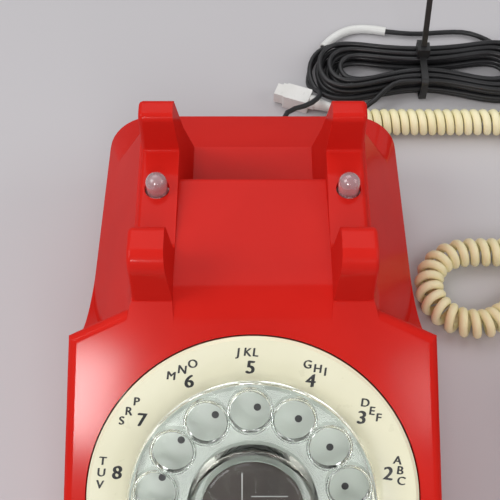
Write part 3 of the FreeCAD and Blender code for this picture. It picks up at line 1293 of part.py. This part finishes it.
nodes = {
    "case": case,
    "base_plate": base_plate,
    "feet": feet,
    "case_screws": case_screws,
    "number_ring": number_ring,
    "dial_plate": dial_plate,
    "dial_frame": dial_frame,
    "dial_screws": dial_screws,
    "finger_stop": finger_stop,
    "finger_wheel": finger_wheel,
    "label_card": label_card,
    "label_cover": label_cover,
    "wheel_screw": wheel_screw,
    "main_spindle": main_spindle,
    "main_gear": main_gear,
    "impulse_cam": impulse_cam,
    "impulse_springs": impulse_springs,
    "main_spring": main_spring,
    "gear_bracket": gear_bracket,
    "pinion_shaft": pinion_shaft,
    "governor_shaft": governor_shaft,
    "governor_cup": governor_cup,
    "plunger_left": lambda: plunger(-1),
    "plunger_right": lambda: plunger(1),
    "switch_lever": switch_lever,
    "switch_pin": switch_pin,
    "switch_bracket": switch_bracket,
    "switch_spring": switch_spring,
    "switch_contacts": switch_contacts,
    "ringer_frame": ringer_frame,
    "ringer_coils": ringer_coils,
    "gong_left": lambda: gong(-1),
    "gong_right": lambda: gong(1),
    "gong_screws": gong_screws,
    "clapper": clapper,
    "clapper_pin": clapper_pin,
    "circuit_board": circuit_board,
    "capacitor": capacitor,
    "induction_coil": induction_coil,
    "terminal_block": terminal_block,
    "handset_cord_grommet": lambda: case_grommet(HANDSET_CORD_X),
    "line_cord_grommet": lambda: case_grommet(LINE_CORD_X),
    "handset_cord": handset_cord,
    "line_cord": line_cord,
    "line_cord_hank": line_cord_hank,
    "line_cord_tail": line_cord_tail,
    "line_plug_body": line_plug_body,
    "line_plug_boot": line_plug_boot,
    "cable_tie": cable_tie,
    "cord_sleeve": cord_sleeve,
    "handset_handle": handset_handle,
    "ear_cap": ear_cap,
    "mouth_cap": mouth_cap,
    "receiver_inset": lambda: sound_inset(-1),
    "transmitter_inset": lambda: sound_inset(1),
    "handset_grommet": handset_grommet,
}

os.makedirs("parts", exist_ok=True)
for name, make in nodes.items():
    shape = make()
    shape.exportStep("parts/" + name + ".step")
    print(name, shape.isValid(), len(shape.Solids), round(shape.Volume))
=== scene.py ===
import bpy
import math
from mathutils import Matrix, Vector


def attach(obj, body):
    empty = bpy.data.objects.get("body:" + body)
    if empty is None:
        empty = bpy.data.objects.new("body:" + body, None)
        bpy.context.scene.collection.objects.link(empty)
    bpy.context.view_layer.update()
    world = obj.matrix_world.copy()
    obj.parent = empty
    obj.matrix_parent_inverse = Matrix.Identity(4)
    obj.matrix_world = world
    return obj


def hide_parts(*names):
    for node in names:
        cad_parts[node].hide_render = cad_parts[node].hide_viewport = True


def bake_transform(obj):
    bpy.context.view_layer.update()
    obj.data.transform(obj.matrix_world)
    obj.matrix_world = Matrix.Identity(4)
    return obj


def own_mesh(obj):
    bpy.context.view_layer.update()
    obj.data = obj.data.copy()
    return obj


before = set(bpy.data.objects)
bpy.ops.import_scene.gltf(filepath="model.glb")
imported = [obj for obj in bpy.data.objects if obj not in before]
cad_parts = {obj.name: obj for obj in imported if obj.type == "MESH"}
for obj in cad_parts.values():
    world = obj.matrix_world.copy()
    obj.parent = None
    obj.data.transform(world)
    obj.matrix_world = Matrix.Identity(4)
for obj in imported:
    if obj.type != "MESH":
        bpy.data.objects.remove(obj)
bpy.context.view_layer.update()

# Room: a pale table top under soft studio light, a softbox at each side and a broad one
# overhead. Two small umbrellas show only as reflections, and the fill in front shows in
# none. The camera looks down from the front.
scene = bpy.context.scene
scene.view_settings.view_transform = "Standard"
bpy.ops.object.select_all(action="DESELECT")
bpy.ops.object.camera_add(location=(0, -0.16334, 0.37029), rotation=(math.radians(32), 0, 0))
camera = bpy.context.active_object
camera.data.lens = 75.6
camera.data.sensor_width = 36
camera.data.shift_x = -0.0056
camera.data.clip_start = 0.01
scene.camera = camera

room = bpy.data.worlds.new("studio_room")
scene.world = room
room.use_nodes = True
room.node_tree.nodes["Background"].inputs["Color"].default_value = (0.97, 0.98, 1.0, 1)
room.node_tree.nodes["Background"].inputs["Strength"].default_value = 0.33


def softbox(name, place, aim, width, power):
    """Square lamp of that width in metres and power in watts, turned towards aim."""
    bpy.ops.object.light_add(type="AREA", location=place)
    lamp = bpy.context.active_object
    lamp.name = name
    lamp.data.size = width
    lamp.data.energy = power
    lamp.rotation_euler = (Vector(aim) - Vector(place)).to_track_quat("-Z", "Y").to_euler()
    return lamp


softbox("softbox_left", (-0.75, -0.10, 0.85), (0, -0.02, 0.05), 0.55, 4.4)
softbox("softbox_over", (-0.25, 0.75, 1.25), (0, 0.05, 0.05), 1.0, 5.6)
for name, side, width, power in (("umbrella_left", -1, 0.10, 2.7), ("umbrella_right", 1, 0.08, 0.3)):
    umbrella = softbox(name, (0.20 * side, -0.62, 0.61), (0.04 * side, -0.03, 0.07), width, power)
    umbrella.visible_diffuse = False
fill = softbox("fill_front", (0.05, -0.75, 0.80), (0, 0.02, 0.05), 0.5, 3.9)
fill.visible_glossy = False
softbox("softbox_right", (0.80, 0.02, 0.50), (0.03, 0.0, 0.04), 0.5, 1.5)

bpy.ops.mesh.primitive_plane_add(size=6, location=(0, 0, 0))
table_top = bpy.context.active_object
table_top.name = "table_top"
paper = bpy.data.materials.new("pale_paper")
paper.use_nodes = True
shader = paper.node_tree.nodes["Principled BSDF"]
shader.inputs["Base Color"].default_value = (0.535, 0.52, 0.535, 1)
shader.inputs["Roughness"].default_value = 0.75
shader.inputs["Specular IOR Level"].default_value = 0.2
table_top.data.materials.append(paper)


# Handset cord: cream PVC cord wound into curls on a mandrel. It leaves its grommet at the
# back, loops beside the case and goes into the mouth end of the handset.
def finish_of(name, tones, patch, rough, grain, bump, metal=0.0, stretch=(1, 1, 1), clear=0.0,
              shine=0.5, coat=0.0):
    """Moulded, plated or painted finish: two tones in soft patches, uneven gloss and a fine grain.

    Patch and grain say how fine the patches and the grain are, rough gives the least and the
    most roughness, and bump the strength of the grain.
    """
    material = bpy.data.materials.new(name)
    material.use_nodes = True
    tree = material.node_tree
    shader = tree.nodes["Principled BSDF"]
    place = tree.nodes.new("ShaderNodeTexCoord")
    turn = tree.nodes.new("ShaderNodeMapping")
    turn.inputs["Scale"].default_value = stretch
    tree.links.new(place.outputs["Object"], turn.inputs["Vector"])
    cloud = tree.nodes.new("ShaderNodeTexNoise")
    cloud.inputs["Scale"].default_value = patch
    cloud.inputs["Detail"].default_value = 6
    tree.links.new(turn.outputs["Vector"], cloud.inputs["Vector"])
    tint = tree.nodes.new("ShaderNodeValToRGB")
    tint.color_ramp.elements[0].position = 0.35
    tint.color_ramp.elements[1].position = 0.65
    tint.color_ramp.elements[0].color = (*tones[0], 1)
    tint.color_ramp.elements[1].color = (*tones[1], 1)
    tree.links.new(cloud.outputs["Fac"], tint.inputs["Fac"])
    tree.links.new(tint.outputs["Color"], shader.inputs["Base Color"])
    rub = tree.nodes.new("ShaderNodeTexNoise")
    rub.inputs["Scale"].default_value = patch * 7
    rub.inputs["Detail"].default_value = 8
    tree.links.new(turn.outputs["Vector"], rub.inputs["Vector"])
    gloss = tree.nodes.new("ShaderNodeMapRange")
    gloss.inputs["From Min"].default_value = 0.3
    gloss.inputs["From Max"].default_value = 0.7
    gloss.inputs["To Min"].default_value = rough[0]
    gloss.inputs["To Max"].default_value = rough[1]
    tree.links.new(rub.outputs["Fac"], gloss.inputs["Value"])
    tree.links.new(gloss.outputs["Result"], shader.inputs["Roughness"])
    fine = tree.nodes.new("ShaderNodeTexNoise")
    fine.inputs["Scale"].default_value = grain
    fine.inputs["Detail"].default_value = 3
    tree.links.new(turn.outputs["Vector"], fine.inputs["Vector"])
    relief = tree.nodes.new("ShaderNodeBump")
    relief.inputs["Strength"].default_value = bump
    relief.inputs["Distance"].default_value = 0.0002
    tree.links.new(fine.outputs["Fac"], relief.inputs["Height"])
    tree.links.new(relief.outputs["Normal"], shader.inputs["Normal"])
    shader.inputs["Metallic"].default_value = metal
    shader.inputs["Transmission Weight"].default_value = clear
    shader.inputs["IOR"].default_value = 1.49
    shader.inputs["Specular IOR Level"].default_value = shine
    shader.inputs["Coat Weight"].default_value = coat
    shader.inputs["Coat Roughness"].default_value = 0.13
    return material


def nurbs(name, points):
    """Bare smooth curve that starts and ends on its first and last points."""
    curve = bpy.data.curves.new(name, "CURVE")
    curve.dimensions = "3D"
    spline = curve.splines.new("NURBS")
    spline.points.add(len(points) - 1)
    for point, place in zip(spline.points, points):
        point.co = (*place, 1)
    spline.order_u = 3
    spline.use_endpoint_u = True
    piece = bpy.data.objects.new(name, curve)
    scene.collection.objects.link(piece)
    return piece


def centre_line(piece):
    """Points along the middle of a bare curve, from its start to its end."""
    bare = bpy.data.meshes.new_from_object(piece.evaluated_get(bpy.context.evaluated_depsgraph_get()))
    return [v.co.copy() for v in bare.vertices]


def round_section(piece, radius):
    """Give a bare curve its thickness, with closed ends."""
    piece.data.bevel_depth = radius
    piece.data.bevel_resolution = 3
    piece.data.use_fill_caps = True


curl_route = nurbs("curl_route", [
    (0.0310, 0.1145, 0.0180), (0.0310, 0.1234, 0.0172), (0.0386, 0.1310, 0.0062), (0.0480, 0.1310, 0.0062),
    (0.0850, 0.1308, 0.0062), (0.1221, 0.1310, 0.0062), (0.1420, 0.1111, 0.0062), (0.1420, 0.0829, 0.0062),
    (0.1221, 0.0630, 0.0062), (0.1005, 0.0631, 0.0062), (0.0802, 0.0630, 0.0062), (0.0705, 0.0533, 0.0062),
    (0.0705, 0.0397, 0.0062), (0.0802, 0.0300, 0.0062), (0.0974, 0.0300, 0.0062), (0.1265, 0.0592, 0.0062),
    (0.1415, 0.0592, 0.0100), (0.1520, 0.0487, 0.0180), (0.1520, 0.0377, 0.0185)])
curl_route.data.resolution_u = 24
route = centre_line(curl_route)
walked = [0.0]
for a, b in zip(route, route[1:]):
    walked.append(walked[-1] + (b - a).length)
bpy.data.objects.remove(curl_route)


def along_route(distance):
    """Point that far along the route, and the level direction square to it."""
    i = 0
    while i < len(route) - 2 and walked[i + 1] < distance:
        i += 1
    step = route[i + 1] - route[i]
    share = (distance - walked[i]) / (walked[i + 1] - walked[i])
    heading = Vector((step.x, step.y, 0)).normalized()
    return route[i] + step * share, Vector((-heading.y, heading.x, 0))


def ease(share):
    """Smooth step from 0 to 1."""
    share = max(0.0, min(1.0, share))
    return share * share * (3 - 2 * share)


def curl_pitch(distance):
    """Millimetres from curl to curl: close on the straight, and open round the bends."""
    marks = [(0, 3.95), (0.078, 3.95), (0.086, 4.4), (0.192, 4.4), (0.2, 4.1), (0.225, 4.9),
             (0.262, 4.9), (0.275, 4.3), (0.296, 4.3), (0.306, 4.6), (0.5, 4.6)]
    for (a, p), (b, q) in zip(marks, marks[1:]):
        if distance <= b:
            return p + (q - p) * (distance - a) / (b - a)
    return marks[-1][1]


curl_radius = 0.00425
curl_wire_radius = 0.0018
points_per_curl = 12
swell_in, swell_out = 0.005, 0.006
straight_start, straight_end = 0.025, 0.040
first = straight_start
last = walked[-1] - straight_end
curls = [along_route(d)[0] for d in (0.0, 0.003, 0.008, 0.013, 0.018, 0.022)]
distance = first
angle = 0.0
while distance < last:
    middle, side = along_route(distance)
    swell = curl_radius * ease((distance - first) / swell_in) * ease((last - distance) / swell_out)
    curls.append(middle + side * (swell * math.cos(angle)) + Vector((0, 0, swell * math.sin(angle))))
    angle += 2 * math.pi / points_per_curl
    distance += curl_pitch(distance) / 1000 / points_per_curl
for share in (0.12, 0.3, 0.5, 0.7, 0.88, 1.0):
    curls.append(along_route(last + (walked[-1] - last) * share)[0])
handset_cord = nurbs("curly_handset_cord", curls)
handset_cord.data.resolution_u = 2
curl_line = centre_line(handset_cord)
round_section(handset_cord, curl_wire_radius)
handset_cord.select_set(True)
bpy.context.view_layer.objects.active = handset_cord
bpy.ops.object.convert(target="MESH")
cord_cream = finish_of("cream_cord_vinyl", ((0.86, 0.79, 0.47), (0.92, 0.86, 0.56)), 55,
                       (0.34, 0.5), 900, 0.12)
handset_cord.data.materials.append(cord_cream)
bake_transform(handset_cord)
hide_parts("handset_cord")


# Line cord: thin black vinyl cord that leaves its grommet behind the case and is wound
# into a flat hank of loops, tied at its waist. Its other end comes back out to a plug.
hank_middle = (77.0, 161.0)
lowest_layer, layer_rise = 1.35, 2.8
layer_starts, layer_change = (2.6, 5.6, 8.6), 0.8
layer_sway = 0.8
ring_steps = 2.5
inner_reach, reach_step = 38.0, 5.4
inner_waist, waist_step = 1.5, 3.75
inner_lobe, lobe_step = 8.0, 5.4
end_roundness = 2.3
loose_loops, loose_change = 0.3, 0.2
loose_bow = 16.0
tie_lift, tie_spread = 1.7, 18.0
sleeve_lift = 0.9


def hank_point(loops):
    """Point that many loops into the hank: loops spiral in and out, three to a layer."""
    turn = math.pi - 2 * math.pi * loops
    ring = ring_steps * abs(1 - (loops % 6) / 3.0)
    layer = sum(ease((loops - start) / layer_change) for start in layer_starts)
    reach = inner_reach + reach_step * ring + layer_sway * math.sin(2.1 * layer)
    waist = inner_waist + waist_step * ring
    lobe = inner_lobe + lobe_step * ring
    loose = 1 - ease((loops - loose_loops) / loose_change)
    across = math.cos(turn) * reach
    round_end = end_roundness * math.cos(turn) ** 2 * (1 - loose) + math.sin(2 * turn) ** 2 * loose
    off = math.sin(turn) * (waist + (lobe - waist) * round_end)
    off += loose_bow * max(0.0, math.sin(turn)) * loose
    lift = tie_lift * math.exp(-(across / tie_spread) ** 2) * (1 - loose) + sleeve_lift * loose
    return Vector((hank_middle[0] + across, hank_middle[1] + off,
                   lowest_layer + layer_rise * layer + lift)) / 1000


hank_loops = 11.77
hank_steps = 283
line_wire_radius = 0.00115
plug_turn = math.radians(-20)
plug_place = Vector((0.0200, 0.1465, 0.0040))
boot_reach = 0.018
hank = [hank_point(hank_loops * i / hank_steps) for i in range(hank_steps + 1)]
into = (hank_point(1e-4) - hank[0]).normalized()
out = (hank[-1] - hank_point(hank_loops - 1e-4)).normalized()
plug_way = Vector((math.cos(plug_turn), math.sin(plug_turn), 0))
plug_end = plug_place + plug_way * boot_reach
lead = [Vector(p) for p in ((0.012, 0.1145, 0.018), (0.012, 0.1273, 0.018), (0.025, 0.1355, 0.012),
                            (0.032, 0.1460, 0.0086))] + [hank[0] - into * 0.007]
tail = [hank[-1] + out * 0.009, plug_end + plug_way * 0.012, plug_end]
line_cord = nurbs("line_cord_run", lead + hank + tail)
line_cord.data.resolution_u = 3
line_middle = centre_line(line_cord)
round_section(line_cord, line_wire_radius)
cord_black = finish_of("black_cord_vinyl", ((0.012, 0.012, 0.013), (0.022, 0.022, 0.024)), 60,
                       (0.32, 0.5), 900, 0.1)
line_cord.data.materials.append(cord_black)
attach(line_cord, "telephone")
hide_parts("line_cord", "line_cord_hank", "line_cord_tail")


# Plug, its tapered boot, the sleeve on the loose loop and the tie round the hank: small
# white and black mouldings, each pushed or pulled tight on the line cord.
def smooth_copy(node, name, material, body="telephone", angle=30):
    """Piece with a node's own form, its facets merged and shaded as one moulded skin."""
    bpy.ops.object.select_all(action="DESELECT")
    piece = bpy.data.objects.new(name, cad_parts[node].data.copy())
    scene.collection.objects.link(piece)
    piece.data.materials.clear()
    piece.data.materials.append(material)
    piece.select_set(True)
    bpy.context.view_layer.objects.active = piece
    bpy.ops.object.mode_set(mode="EDIT")
    bpy.ops.mesh.select_all(action="SELECT")
    bpy.ops.mesh.remove_doubles(threshold=0.000004)
    bpy.ops.object.mode_set(mode="OBJECT")
    bpy.ops.mesh.customdata_custom_splitnormals_clear()
    bpy.ops.object.shade_smooth_by_angle(angle=math.radians(angle))
    even = piece.modifiers.new("even_shading", "WEIGHTED_NORMAL")
    even.keep_sharp = True
    bpy.ops.object.modifier_apply(modifier=even.name)
    for face in piece.data.polygons:
        face.material_index = 0
    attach(piece, body)
    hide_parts(node)
    return piece


white_moulding = finish_of("white_moulding", ((0.74, 0.74, 0.71), (0.82, 0.82, 0.8)), 60,
                           (0.25, 0.4), 700, 0.05)
black_nylon = finish_of("black_nylon", ((0.012, 0.012, 0.012), (0.026, 0.026, 0.027)), 80,
                        (0.35, 0.5), 900, 0.1)
plug = smooth_copy("line_plug_body", "plug_body", white_moulding)
boot = smooth_copy("line_plug_boot", "plug_boot", white_moulding)
sleeve = smooth_copy("cord_sleeve", "sleeve_on_cord", white_moulding)
tie = smooth_copy("cable_tie", "hank_tie", black_nylon)

# Grommets and feet: rubber sleeves pressed into the rear wall and into the handset, tapering
# down to each cord so that it cannot kink where it leaves, and rubber pads under the base.
cream_rubber = finish_of("cream_rubber", ((0.56, 0.5, 0.3), (0.64, 0.58, 0.37)), 70,
                         (0.42, 0.58), 800, 0.15)
black_rubber = finish_of("black_rubber", ((0.018, 0.018, 0.018), (0.032, 0.032, 0.032)), 70,
                         (0.5, 0.7), 700, 0.25)
smooth_copy("handset_cord_grommet", "cream_grommet", cream_rubber)
smooth_copy("line_cord_grommet", "black_grommet", black_rubber)
smooth_copy("handset_grommet", "grommet_in_handset", cream_rubber, "handset")
smooth_copy("feet", "rubber_feet", black_rubber)

# Case: one injection moulding in glossy red, with the sloping dial face, the horned
# rails and the bridge in one skin. Screws hold it to the base from below.
red_gloss = finish_of("glossy_red_moulding", ((0.57, 0.0145, 0.0095), (0.63, 0.0185, 0.0125)), 18,
                      (0.07, 0.14), 450, 0.010, shine=0.0, coat=0.18)
smooth_copy("case", "red_case", red_gloss, angle=28)

# Handset: red mouldings, an arched grip with a cup at each end and two screwed caps.
# It lies face down beside the case.
smooth_copy("handset_handle", "red_handle", red_gloss, "handset")
smooth_copy("ear_cap", "red_ear_cap", red_gloss, "handset")
smooth_copy("mouth_cap", "red_mouth_cap", red_gloss, "handset")

# Number ring: cream moulding dished towards the wheel, with the numbers and letter
# groups printed on it in black.
cream_gloss = finish_of("cream_ring_moulding", ((0.79, 0.755, 0.54), (0.84, 0.81, 0.60)), 25,
                        (0.26, 0.4), 600, 0.03)
smooth_copy("number_ring", "cream_number_ring", cream_gloss)
dial_tilt = math.radians(36)
dial_middle = Vector((0, -0.057, 0.0535))
slope_up = Vector((0, math.cos(dial_tilt), math.sin(dial_tilt)))
slope_out = Vector((0, -math.sin(dial_tilt), math.cos(dial_tilt)))


def on_dial(x, y, height):
    """Point of the sloping face: millimetres across, up the slope and out from it."""
    across = Vector((x / 1000, 0, 0))
    return dial_middle + across + slope_up * (y / 1000) + slope_out * (height / 1000)


ring_inside, ring_crease, ring_outside = 37.0, 43.5, 50.5
inside_height, crease_height, outside_height = -1.0, 0.3, 1.0


def ring_height(x, y):
    """Height of the dished ring's skin above the face."""
    radius = math.hypot(x, y)
    if radius < ring_crease:
        share = (radius - ring_inside) / (ring_crease - ring_inside)
        return inside_height + (crease_height - inside_height) * share
    share = (radius - ring_crease) / (ring_outside - ring_crease)
    return crease_height + (outside_height - crease_height) * share


def join_as(name, pieces, material):
    """One piece from several, with one finish."""
    bpy.ops.object.select_all(action="DESELECT")
    for piece in pieces:
        piece.select_set(True)
    bpy.context.view_layer.objects.active = pieces[0]
    bpy.ops.object.join()
    pieces[0].name = name
    pieces[0].data.materials.clear()
    pieces[0].data.materials.append(material)
    return pieces[0]


printing = finish_of("black_print", ((0.012, 0.012, 0.012), (0.02, 0.02, 0.02)), 90,
                     (0.4, 0.55), 900, 0.04)
print_lift = 0.07
numerals = [("5", -0.7, 41.6), ("6", -19.5, 37.3), ("7", -34.2, 25.3), ("8", -41.9, 8.8),
            ("9", -40.8, -10.0), ("0", -31.7, -27.6), ("4", 17.8, 37.5), ("3", 33.5, 26.0),
            ("2", 41.8, 8.5), ("1", 40.7, -10.5)]
letters = [("J", -4.4, 46.5), ("K", -1.6, 46.5), ("L", 0.8, 46.4), ("M", -25.0, 39.2),
           ("N", -21.6, 41.1), ("O", -18.4, 42.9), ("P", -35.7, 31.2), ("R", -38.1, 28.2),
           ("S", -40.3, 25.3), ("T", -46.2, 12.7), ("U", -46.7, 9.1), ("V", -47.2, 5.3),
           ("G", 16.8, 42.7), ("H", 19.9, 41.4), ("I", 22.2, 40.4), ("D", 34.5, 30.8),
           ("E", 36.6, 28.3), ("F", 38.6, 26.2), ("A", 44.6, 12.9), ("B", 45.4, 9.7),
           ("C", 45.8, 6.4), ("W", -46.6, -7.0), ("X", -46.0, -10.6), ("Y", -45.0, -14.2)]
bpy.ops.object.select_all(action="DESELECT")
printed = []
lean = math.radians(-7)
# Each sign is laid three times, a little apart, which gives it a bold stroke.
for group, size, stroke in ((numerals, 5.9, 0.22), (letters, 3.7, 0.13)):
    for sign, x, y, nudge in [(*row, side * stroke) for row in group for side in (-1, 0, 1)]:
        bpy.ops.object.text_add(location=(0, 0, 0))
        glyph = bpy.context.active_object
        glyph.data.body = sign
        glyph.data.size = size
        glyph.data.resolution_u = 6
        glyph.data.align_x = "CENTER"
        glyph.data.align_y = "CENTER"
        bpy.ops.object.convert(target="MESH")
        for v in glyph.data.vertices:
            across = v.co.x + nudge
            up = v.co.y + nudge * 0.4
            px = x + across * math.cos(lean) - up * math.sin(lean)
            py = y + across * math.sin(lean) + up * math.cos(lean)
            v.co = on_dial(px, py, ring_height(px, py) + print_lift + 0.03 * nudge)
        printed.append(glyph)
ring_print = join_as("ring_numerals", printed, printing)
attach(ring_print, "telephone")

# Dial plate: pale painted pan seen through the clear wheel, with a black dot under
# each finger hole.
pale_paint = finish_of("pale_green_paint", ((0.50, 0.555, 0.49), (0.57, 0.625, 0.56)), 30,
                       (0.35, 0.5), 500, 0.05)
smooth_copy("dial_plate", "pale_plate", pale_paint)
dot_radius = 1.15
dot_pitch_radius = 29.0
dot_top, dot_step = 87.2, 26.4
plate_height = -2.14
dots = []
for i in range(10):
    way = math.radians(dot_top + dot_step * (i - 4))
    bpy.ops.mesh.primitive_circle_add(vertices=28, radius=dot_radius, fill_type="NGON", location=(0, 0, 0))
    dot = bpy.context.active_object
    for v in dot.data.vertices:
        v.co = on_dial(dot_pitch_radius * math.cos(way) + v.co.x,
                       dot_pitch_radius * math.sin(way) + v.co.y, plate_height)
    dots.append(dot)
dot_print = join_as("plate_dots", dots, printing)
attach(dot_print, "telephone")

# Finger wheel: clear acrylic moulding with ten finger holes, each with a rounded lip,
# and a raised hub that holds the card.
acrylic = finish_of("clear_acrylic", ((0.93, 0.95, 0.93), (0.96, 0.975, 0.96)), 20,
                    (0.02, 0.06), 300, 0.01, clear=1.0)
smooth_copy("finger_wheel", "clear_finger_wheel", acrylic, "dial", angle=25)
lip_radius, lip_round, lip_flatten = 6.55, 0.5, 0.9
hole_pitch_radius = 29.8
hole_top, hole_step = 91.5, 26.2
wheel_height = 8.4
lips = []
for i in range(10):
    way = math.radians(hole_top + hole_step * (i - 4))
    bpy.ops.mesh.primitive_torus_add(major_radius=lip_radius, minor_radius=lip_round,
                                     major_segments=64, minor_segments=14)
    lip = bpy.context.active_object
    for v in lip.data.vertices:
        v.co = on_dial(hole_pitch_radius * math.cos(way) + v.co.x,
                       hole_pitch_radius * math.sin(way) + v.co.y, wheel_height + v.co.z * lip_flatten)
    lips.append(lip)
hole_lips = join_as("finger_hole_lips", lips, acrylic)
bpy.ops.object.shade_smooth()
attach(hole_lips, "dial")

# Card in the hub: dark card printed with plain white rules. A clear moulded cover snaps
# in over it and holds it down.
dark_card = finish_of("dark_card", ((0.105, 0.082, 0.070), (0.135, 0.105, 0.09)), 60,
                      (0.45, 0.6), 900, 0.08)
smooth_copy("label_card", "dark_label", dark_card, "dial")
white_print = finish_of("white_print", ((0.7, 0.7, 0.67), (0.8, 0.8, 0.77)), 90, (0.4, 0.55), 900, 0.03)
rule_height = 10.93
rules = []
for x, y, wide, tall in ((-3.2, 0, 0.35, 24.0), (5.0, 5.0, 11.0, 0.3), (5.0, 0, 12.5, 0.3),
                         (5.0, -5.0, 11.0, 0.3)):
    bpy.ops.mesh.primitive_plane_add(size=1)
    rule = bpy.context.active_object
    for v in rule.data.vertices:
        v.co = on_dial(x + v.co.x * wide, y + v.co.y * tall, rule_height)
    rules.append(rule)
card_rules = join_as("card_rules", rules, white_print)
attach(card_rules, "dial")
smooth_copy("label_cover", "clear_card_cover", acrylic, "dial")

# Finger stop: a plated steel hook that stands on the number ring and reaches in over
# the wheel at the lower right.
chrome = finish_of("bright_plating", ((0.76, 0.76, 0.77), (0.82, 0.82, 0.83)), 40,
                   (0.06, 0.16), 500, 0.02, metal=1.0)
smooth_copy("finger_stop", "plated_finger_stop", chrome)

# Plungers: clear acrylic pins that stand up through the rails and are pressed down by
# the handset. They are made a little cloudy, which lightens them where clear pins would show the dark
# inside of the case, and their pink is painted red, standing in for the red of the case seen through them.
# Pink tones: painted red, standing in for the red of the case seen through the clear pins.
acrylic_painted_case_red = finish_of("clouded_acrylic_painted_case_red", ((1.0, 0.54, 0.57), (1.0, 0.80, 0.82)), 120,
                    (0.02, 0.05), 500, 0.02, clear=0.7, coat=0.8)
smooth_copy("plunger_left", "clear_plunger_left", acrylic_painted_case_red, "plunger_l")
smooth_copy("plunger_right", "clear_plunger_right", acrylic_painted_case_red, "plunger_r")


# Base, frames, brackets and the capsules of the handset: steel pressings, zinc-plated and
# dull, held by screws or, in the handset, under the caps.
def dress(nodes, material):
    """Give parts that keep their packed form their finish."""
    for node in nodes:
        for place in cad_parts[node].material_slots:
            place.material = material


zinc = finish_of("dull_zinc_plate", ((0.5, 0.49, 0.45), (0.64, 0.63, 0.58)), 45,
                 (0.3, 0.48), 700, 0.08, metal=1.0)
dress(("base_plate", "dial_frame", "gear_bracket", "switch_bracket", "ringer_frame",
       "receiver_inset", "transmitter_inset"), zinc)

# Screws, pins, springs and shafts: bright steel, turned or drawn, with fine marks along
# its length.
steel = finish_of("turned_steel", ((0.5, 0.5, 0.51), (0.62, 0.62, 0.63)), 60,
                  (0.2, 0.36), 900, 0.06, metal=1.0, stretch=(1, 1, 6))
dress(("case_screws", "dial_screws", "gong_screws", "wheel_screw", "main_spindle", "impulse_springs",
       "main_spring", "governor_shaft", "switch_pin", "clapper", "clapper_pin"), steel)

# Return spring under the yoke: a coil of spring steel on the bracket's post, which the
# yoke presses down as the plungers go in.
yoke_spring = smooth_copy("switch_spring", "yoke_return_spring", steel)
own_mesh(yoke_spring)

# Dial train and governor cup: brass, the gears cut and the cup turned. They run behind
# the dial on steel shafts.
brass = finish_of("cut_brass", ((0.6, 0.43, 0.18), (0.74, 0.56, 0.27)), 60,
                  (0.22, 0.38), 900, 0.06, metal=1.0)
dress(("main_gear", "pinion_shaft", "governor_cup"), brass)

# Gongs: spun bell metal cups, polished, with a little tarnish. Each is held at its
# middle by one screw.
bell_metal = finish_of("polished_bell_metal", ((0.5, 0.42, 0.27), (0.66, 0.58, 0.42)), 35,
                       (0.14, 0.3), 600, 0.04, metal=1.0)
dress(("gong_left", "gong_right"), bell_metal)

# Windings of the ringer and of the induction coil: enamelled copper wire, wound in
# close layers.
copper = finish_of("enamelled_copper", ((0.33, 0.1, 0.035), (0.47, 0.17, 0.06)), 120,
                   (0.28, 0.42), 1200, 0.3, stretch=(1, 8, 1))
dress(("ringer_coils", "induction_coil"), copper)

# Board and its parts: a green lacquered board with black and white mouldings on it. The
# cam, the switch contacts and the yoke are mouldings of the same black and white.
board_green = finish_of("green_board_lacquer", ((0.05, 0.15, 0.07), (0.08, 0.2, 0.1)), 50,
                        (0.3, 0.45), 800, 0.08)
black_moulding = finish_of("black_moulding", ((0.015, 0.015, 0.016), (0.03, 0.03, 0.031)), 60,
                           (0.3, 0.46), 700, 0.08)
dress(("circuit_board",), board_green)
dress(("terminal_block", "impulse_cam", "switch_contacts"), black_moulding)
dress(("capacitor", "switch_lever"), white_moulding)
